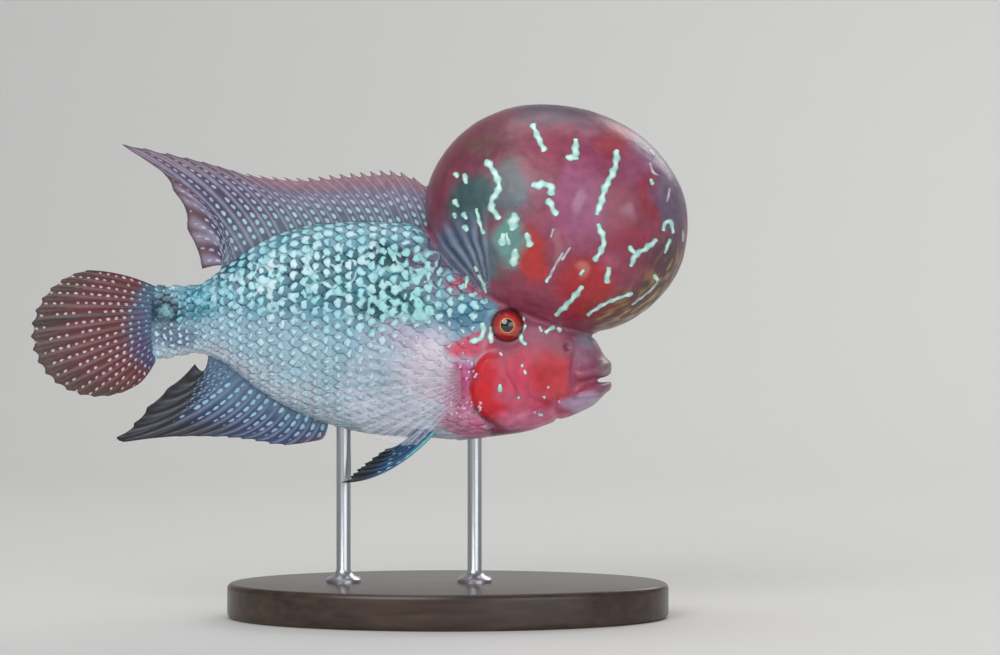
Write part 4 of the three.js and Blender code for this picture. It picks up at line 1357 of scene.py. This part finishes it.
def dorsalTone(s, t, near):  # the colour, the cover, the size of the dashes and their colour
    soft = smoothStep(0.55, 0.8, s)
    web = mixed(linear(92, 106, 124), linear(118, 112, 134), smoothStep(0.2, 0.5, t))
    web = mixed(web, linear(150, 108, 126), smoothStep(0.62, 0.85, t) * (1 - soft))
    web = mixed(web, linear(66, 58, 92), soft * smoothStep(0.1, 0.35, t))
    web = mixed(web, linear(98, 58, 74), soft * smoothStep(0.6, 0.9, t))
    ray = mixed(linear(170, 168, 190), linear(190, 156, 168), smoothStep(0.6, 0.9, t) * (1 - soft))
    tone = mixed(web, ray, 0.65 * near)
    tone = mixed(tone, linear(72, 40, 54), 0.8 * smoothStep(0.93, 1.0, t) * (0.5 + 0.5 * near))
    size = smoothStep(0.02, 0.1, t) * smoothStep(0.76, 0.58, t * (1 - 0.3 * soft)) * (1 - 0.15 * t)
    dash = mixed(linear(176, 214, 222), linear(190, 178, 208), smoothStep(0.3, 0.6, t))
    return tone, 0.97 - 0.34 * smoothStep(0.6, 1.0, t) * (1 - near) * (1 - 0.6 * soft), size, dash


def analTone(s, t, near):
    web = mixed(linear(84, 112, 140), linear(50, 62, 104), smoothStep(0.1, 0.4, t))
    web = mixed(web, linear(98, 66, 74), 0.85 * smoothStep(0.2, 0.02, s) * smoothStep(0.3, 0.7, t))
    dark = smoothStep(0.35, 0.7, t + 0.25 * smoothStep(0.6, 1.0, s)) * smoothStep(0.3, 0.6, s)
    web = mixed(web, linear(8, 8, 12), dark)
    ray = mixed(linear(124, 156, 192), linear(104, 108, 134), dark)
    tone = mixed(web, ray, (0.6 - 0.2 * dark) * near * smoothStep(0.08, 0.3, t) * smoothStep(1.0, 0.8, t))
    tone = mixed(tone, linear(26, 18, 26), 0.8 * smoothStep(0.93, 1.0, t))
    size = smoothStep(0.02, 0.1, t) * smoothStep(0.92, 0.55, t + 0.25 * dark)
    dash = mixed(linear(160, 206, 224), linear(150, 160, 206), smoothStep(0.3, 0.7, t))
    return tone, 0.98 - 0.12 * t * (1 - near), size, dash


def caudalTone(s, t, near):
    web = mixed(linear(70, 104, 134), linear(78, 62, 104), smoothStep(0.0, 0.12, t) * smoothStep(0.0, 0.7, s))
    web = mixed(web, linear(98, 38, 46), smoothStep(0.06, 0.28, t - 0.14 * s + 0.04))
    web = mixed(web, linear(70, 48, 42), 0.9 * smoothStep(0.55, 0.9, t))
    tone = mixed(web, linear(118, 76, 78), 0.22 * near)
    # a near-black line along one ray where the web folds, with no fold in the mesh: painted shade of the fold
    fold = np.exp(-(((s - 0.33 - 0.03 * t) / 0.011) ** 2)) * smoothStep(0.25, 0.45, t)
    tone = mixed(tone, linear(16, 12, 18), 0.95 * fold)
    tone = mixed(tone, linear(46, 34, 36), 0.5 * smoothStep(0.97, 1.0, t))
    dash = mixed(linear(130, 196, 216), linear(214, 196, 196), smoothStep(0.1, 0.34, t))
    cover = 0.97 - 0.3 * smoothStep(0.84, 0.99, t) * (1 - 0.6 * near)
    return tone, cover, smoothStep(0.0, 0.08, t) * (1 - 0.2 * t), dash


def pectoralTone(s, t, near):
    tone = mixed(linear(196, 200, 214), linear(224, 224, 236), near)
    tone = mixed(tone, linear(206, 132, 160), smoothStep(0.14, 0.0, t))
    return tone, 0.07 + 0.26 * near * (1 - 0.3 * t) + 0.7 * smoothStep(0.12, 0.0, t), 0 * t, tone


def pelvicTone(s, t, near):
    lead = smoothStep(0.4, 0.0, s)
    shine = near * smoothStep(0.95, 0.5, t) * (0.3 + 0.6 * lead)
    tone = mixed(linear(30, 70, 116), linear(86, 164, 200), shine)
    streak = np.exp(-(((s - 0.1) / 0.06) ** 2)) * smoothStep(0.02, 0.1, t) * smoothStep(0.5, 0.3, t)
    tone = mixed(tone, linear(132, 226, 232), streak)
    tone = mixed(tone, linear(16, 20, 30), smoothStep(0.55, 0.9, t))
    cover = 0.98 - 0.55 * smoothStep(0.2, 0.8, t) * (1 - near) * smoothStep(0.3, 0.8, s)
    dash = smoothStep(0.85, 0.6, t) * smoothStep(0.0, 0.1, t) * (1 - 0.4 * s)
    return tone, cover, dash, linear(176, 224, 236)


def finHalves(size, t, ray, soft, near):  # half the fin's thickness, with its rays as ridges
    half = size["root"] + (size["edge"] - size["root"]) * t**0.8
    half = half + near * (size["ridge"] + (size["ridgeEdge"] - size["ridge"]) * t)
    half *= 1 - 0.5 * smoothStep(0.97, 1.0, t)
    return half * (1 + 0.06 * np.sin(t * 70 + ray * 2) * soft * near)  # the joints of the soft rays


def dashPlace(size, p, ray):  # ray's number, way along it and gap to the next, in more rows where rays fan out
    steps = np.linalg.norm(np.diff(p, axis=1), axis=2)
    run = np.concatenate([np.zeros((len(p), 1)), np.cumsum(steps, axis=1)], axis=1)
    fanned = np.maximum(0, ray - size.get("fanned", size["rays"]))
    gap = np.linalg.norm(np.gradient(p, axis=0), axis=2) * perRay / (1 + 2 * (fanned > 0))
    return np.stack([ray + 2 * fanned + 0.0005, run, gap], -1).reshape(-1, 3), gap


def makeFin(name, kind, shape, across, toneAt, replaced):
    size = finSizes[kind]
    across = np.array(across, float) / np.linalg.norm(across)
    columns, rows = (size["rays"] - 1) * perRay + 1, size["rows"]
    s, t = np.meshgrid(np.linspace(0, 1, columns), np.linspace(0, 1, rows + 1), indexing="ij")
    ray = s * (size["rays"] - 1)
    away = np.abs(ray - np.round(ray))  # 0 on a ray, 0.5 between two
    soft = smoothStep(size["spines"] - 0.5, size["spines"] + 0.5, ray)
    fork = soft * 0.2 * smoothStep(0.4, 1.0, t)
    near = hill(away - fork, 0.13 + 0.02 * soft)
    notch = size["notch"] + (size["softNotch"] - size["notch"]) * soft
    p = finPlace(shape, across, s, t * (1 - notch * (1 - hill(away, 0.2))))
    half = finHalves(size, t, ray, soft, near)[..., None]
    points = np.concatenate([(p + across * half).reshape(-1, 3), (p - across * half).reshape(-1, 3)])
    piece = newMesh(name, points, sheetFaces(columns, rows + 1, len(points) // 2, way=-1))
    place, gap = dashPlace(size, p, ray)
    tone, cover, dash, dashTone = toneAt(s, t, near)
    dash = dash * np.clip(gap / 1.2, 0.3, 1)
    grain = 1 + 0.14 * waves(points, 2.0, 1.1)
    setColour(piece, "tone", np.clip(np.tile(tone.reshape(-1, 3), (2, 1)) * grain[:, None], 0, 1))
    setColour(piece, "dashTone", np.tile(np.broadcast_to(dashTone, tone.shape).reshape(-1, 3), (2, 1)))
    setVector(piece, "place", np.tile(place, (2, 1)))
    setNumber(piece, "cover", np.tile(np.clip(cover, 0, 1).ravel(), 2))
    setNumber(piece, "dash", np.tile(dash.ravel(), 2))
    faceOut(piece)
    shaded(piece)
    piece.data.materials.append(finishes[kind])
    print(name, len(piece.data.polygons))
    return finished(piece, replaced)


sideways = (0, 1, 0)
makeFin("dorsal_fin_skin", "dorsal", dorsalShape, sideways, dorsalTone, ["dorsal_fin"])
makeFin("anal_fin_skin", "anal", analShape, sideways, analTone, ["anal_fin"])
makeFin("caudal_fin_skin", "caudal", caudalShape, sideways, caudalTone, ["caudal_fin"])
for sign, side in ((1, "left"), (-1, "right")):
    makeFin(f"pectoral_fin_skin_{side}", "pectoral", pectoralShape(sign), (breast["out"], sign, 0),
            pectoralTone, [f"pectoral_fin_{side}"])
    makeFin(f"pelvic_fin_skin_{side}", "pelvic", pelvicShape(sign), (0.2, sign, 0.35), pelvicTone,
            [f"pelvic_fin_{side}"])
print("fins")


# Eyes
eyeball = {"down": 48, "across": 64, "bulge": 0.045, "fit": 0.98, "iris": 3.2}
eyeRings = ((0.0, (4, 4, 6)), (0.335, (6, 5, 8)), (0.36, (226, 170, 96)), (0.41, (196, 60, 36)),
            (0.62, (172, 22, 26)), (0.79, (104, 14, 20)), (0.86, (30, 12, 18)))  # from the pupil outwards


def eyeFinish():
    made, shader, node, link = newFinish("eyeFinish", **{
        "Roughness": 0.12, "Coat Weight": 1.0, "Coat Roughness": 0.02, "Specular IOR Level": 0.6})
    place = objectPlace(node)
    middle = (eye["x"] * millimetre, 0, (eye["z"] - floorLevel) * millimetre)
    flat = vectors(node, link, "MULTIPLY", vectors(node, link, "SUBTRACT", place, middle), (1, 0, 1))
    far = vectors(node, link, "LENGTH", flat)
    nudge = ranged(node, link, noiseAt(node, link, place, 1400, 2.0)["Fac"], 0, 1, -0.03, 0.03, False)
    rings = maths(node, link, "MULTIPLY_ADD", far, 1 / (eyeball["iris"] * millimetre), nudge)
    link(rampOf(node, link, rings, eyeRings), shader.inputs["Base Color"])
    return made


def makeEye(side, sign, finish):
    d, faces = ballPoints(eyeball["across"], eyeball["down"])
    tall = np.arccos(np.clip(d[:, 2], -1, 1))
    d *= (1 + eyeball["bulge"] * hill(tall, 0.5))[:, None]  # the cornea
    p = d[:, [0, 2, 1]] * eye["radius"] * np.array([1, sign, 1]) * eyeball["fit"]
    piece = newMesh(f"eyeball_{side}", p + np.array([eye["x"], sign * eye["out"], eye["z"]]), faces)
    faceOut(piece)
    shaded(piece)
    piece.data.materials.append(finish)
    return finished(piece, [f"eye_{side}"])


eyeLook = eyeFinish()
makeEye("left", 1, eyeLook)
makeEye("right", -1, eyeLook)
print("eyes")

finished(skin, ["trunk", "tail_stalk", "head", "nuchal_hump", "upper_jaw", "lower_jaw",
                         "gill_cover_left", "gill_cover_right"])


# Stand
oval = {"edge": 1.0, "edgeSteps": 8, "around": 160}
rod = {"around": 48, "half": 1.25, "above": 0.6, "neck": ((1.9, 1.15), (1.5, 1.6), (1.25, 2.2))}


def stretched(node, link, scale):
    made = node("ShaderNodeMapping")
    made.inputs["Scale"].default_value = scale
    link(objectPlace(node), made.inputs["Vector"])
    return made.outputs["Vector"]


def woodFinish():
    made, shader, node, link = newFinish("woodFinish", **{"Coat Weight": 0.25, "Coat Roughness": 0.2})
    grain = noiseAt(node, link, stretched(node, link, (1, 14, 14)), 42, 6.0, 0.6)["Fac"]
    tone = rampOf(node, link, grain, ((0.3, (34, 22, 17)), (0.75, (74, 50, 36))))
    link(tone, shader.inputs["Base Color"])
    link(ranged(node, link, grain, 0, 1, 0.28, 0.46, False), shader.inputs["Roughness"])
    bump = node("ShaderNodeBump")
    bump.inputs["Strength"].default_value = 0.15
    bump.inputs["Distance"].default_value = 0.0002
    link(grain, bump.inputs["Height"])
    link(bump.outputs["Normal"], shader.inputs["Normal"])
    return made


def steelFinish():
    made, shader, node, link = newFinish("steelFinish", **{
        "Metallic": 1.0, "Base Color": (0.55, 0.56, 0.58, 1)})
    lines = noiseAt(node, link, stretched(node, link, (1, 1, 30)), 160, 2.0)["Fac"]
    link(ranged(node, link, lines, 0, 1, 0.26, 0.34, False), shader.inputs["Roughness"])
    return made


def turned(name, profile, around, squash=(1, 1)):  # a round or oval piece from its profile
    points = []
    for r, z in profile:
        a = np.arange(around) / around * 2 * math.pi
        points.append(np.stack([r * squash[0] * np.cos(a), r * squash[1] * np.sin(a), np.full(around, z)], 1))
    return shaded(faceOut(newMesh(name, np.concatenate(points), ringFaces(len(profile), around))), False)


def soften(piece):  # round shading that keeps the sharp edges
    shaded(piece)
    piece.data.set_sharp_from_angle(angle=math.radians(35))


def makeBase():
    low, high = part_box("stand_base")
    length, width, height = [v / millimetre for v in (high.x - low.x, high.y - low.y, high.z - low.z)]
    edge, steps = oval["edge"], oval["edgeSteps"]
    turns = [math.pi / 2 * k / steps for k in range(steps + 1)]
    profile = [(1 - 2 * edge / length, 0)]
    profile += [(1 - 2 * edge * (1 - math.sin(a)) / length, edge * (1 - math.cos(a))) for a in turns]
    profile += [(1 - 2 * edge * (1 - math.cos(a)) / length, height - edge * (1 - math.sin(a))) for a in turns]
    profile = [(r, z + floorLevel) for r, z in profile]
    base = turned("oval_base", profile, oval["around"], (length / 2, width / 2))
    base.data.materials.append(woodFinish())
    soften(base)
    finished(base, ["stand_base"])


def makeRod(name, steel):
    low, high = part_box(name)
    foot, top = low.z / millimetre + floorLevel, high.z / millimetre + floorLevel + rod["above"]
    flare = (high.x - low.x) / 2 / millimetre
    profile = [(flare, foot), (flare, foot + 0.5), (flare - 0.25, foot + 0.8)]
    profile += [(r, foot + rise) for r, rise in rod["neck"]] + [(rod["half"], top)]
    piece = turned(name.replace("stand_", "steel_"), profile, rod["around"])
    setPoints(piece, pointsOf(piece) + ((low.x + high.x) / 2 / millimetre, 0, 0))
    piece.data.materials.append(steel)
    soften(piece)
    finished(piece, [name])


makeBase()
steel = steelFinish()
makeRod("stand_rod_1", steel)
makeRod("stand_rod_2", steel)
print("stand")


# Room, light and camera
room = {"near": -0.9, "far": 0.75, "rise": 0.35, "half": 1.6, "height": 2.0, "steps": 12}
lamps = {
    "keyLight": {"place": (-0.3, -0.7, 0.5), "size": 0.6, "power": 3.6, "colour": (1, 0.99, 0.98)},
    "fillLight": {"place": (0.45, -0.75, 0.12), "size": 0.7, "power": 2.2, "colour": (0.93, 0.97, 1)},
    "topLight": {"place": (0.0, 0.1, 0.8), "size": 0.6, "power": 1.8, "colour": (1, 1, 1)},
    "backLight": {"place": (0.4, 0.5, 0.5), "size": 0.4, "power": 1.2, "colour": (1, 1, 1)},
}
sky = {"colour": (0.9, 0.94, 1, 1), "strength": 0.3}
view = {"distance": 0.48, "sensor": 36.0, "near": 0.01}
lampTarget = (0, 0, 0.05)


def makeRoom():
    start = room["far"] - room["rise"]
    rings = [(room["near"], 0.0), (start, 0.0)]
    for k in range(1, room["steps"] + 1):
        a = math.pi / 2 * k / room["steps"]
        rings.append((start + room["rise"] * math.sin(a), room["rise"] * (1 - math.cos(a))))
    rings.append((room["far"], room["height"]))
    points = [(x, y, z) for y, z in rings for x in (-room["half"], room["half"])]
    faces = [(2 * i, 2 * i + 1, 2 * i + 3, 2 * i + 2) for i in range(len(rings) - 1)]
    floor = shaded(newMesh("floor", points, faces))
    made = newFinish("floorFinish", **{"Base Color": (0.72, 0.71, 0.69, 1), "Roughness": 0.6})[0]
    floor.data.materials.append(made)


def softLight(name, lamp):
    data = bpy.data.lights.new(name, "AREA")
    data.shape, data.size, data.energy, data.color = "DISK", lamp["size"], lamp["power"], lamp["colour"]
    made = bpy.data.objects.new(name, data)
    made.location = lamp["place"]
    aim = Vector(lampTarget) - Vector(lamp["place"])
    made.rotation_euler = aim.to_track_quat("-Z", "Y").to_euler()
    bpy.context.scene.collection.objects.link(made)


def makeSky():
    world = bpy.data.worlds.new("world")
    bpy.context.scene.world = world
    world.use_nodes = True
    light = world.node_tree.nodes["Background"]
    light.inputs["Color"].default_value = sky["colour"]
    light.inputs["Strength"].default_value = sky["strength"]
    bpy.context.scene.view_settings.view_transform = "Standard"


def makeCamera():
    x, z = fromPicture(*pictureMiddle)
    data = bpy.data.cameras.new("camera")
    data.sensor_width = view["sensor"]
    data.lens = view["sensor"] * view["distance"] / (pictureWidth / pictureScale * millimetre)
    data.clip_start = view["near"]
    camera = bpy.data.objects.new("camera", data)
    target = Vector((x * millimetre, 0, (z - floorLevel) * millimetre))
    camera.location = target + Vector((0, -view["distance"], 0))
    camera.rotation_euler = (target - camera.location).to_track_quat("-Z", "Y").to_euler()
    bpy.context.scene.collection.objects.link(camera)
    bpy.context.scene.camera = camera


makeRoom()
for name, lamp in lamps.items():
    softLight(name, lamp)
makeSky()
makeCamera()
print("room")
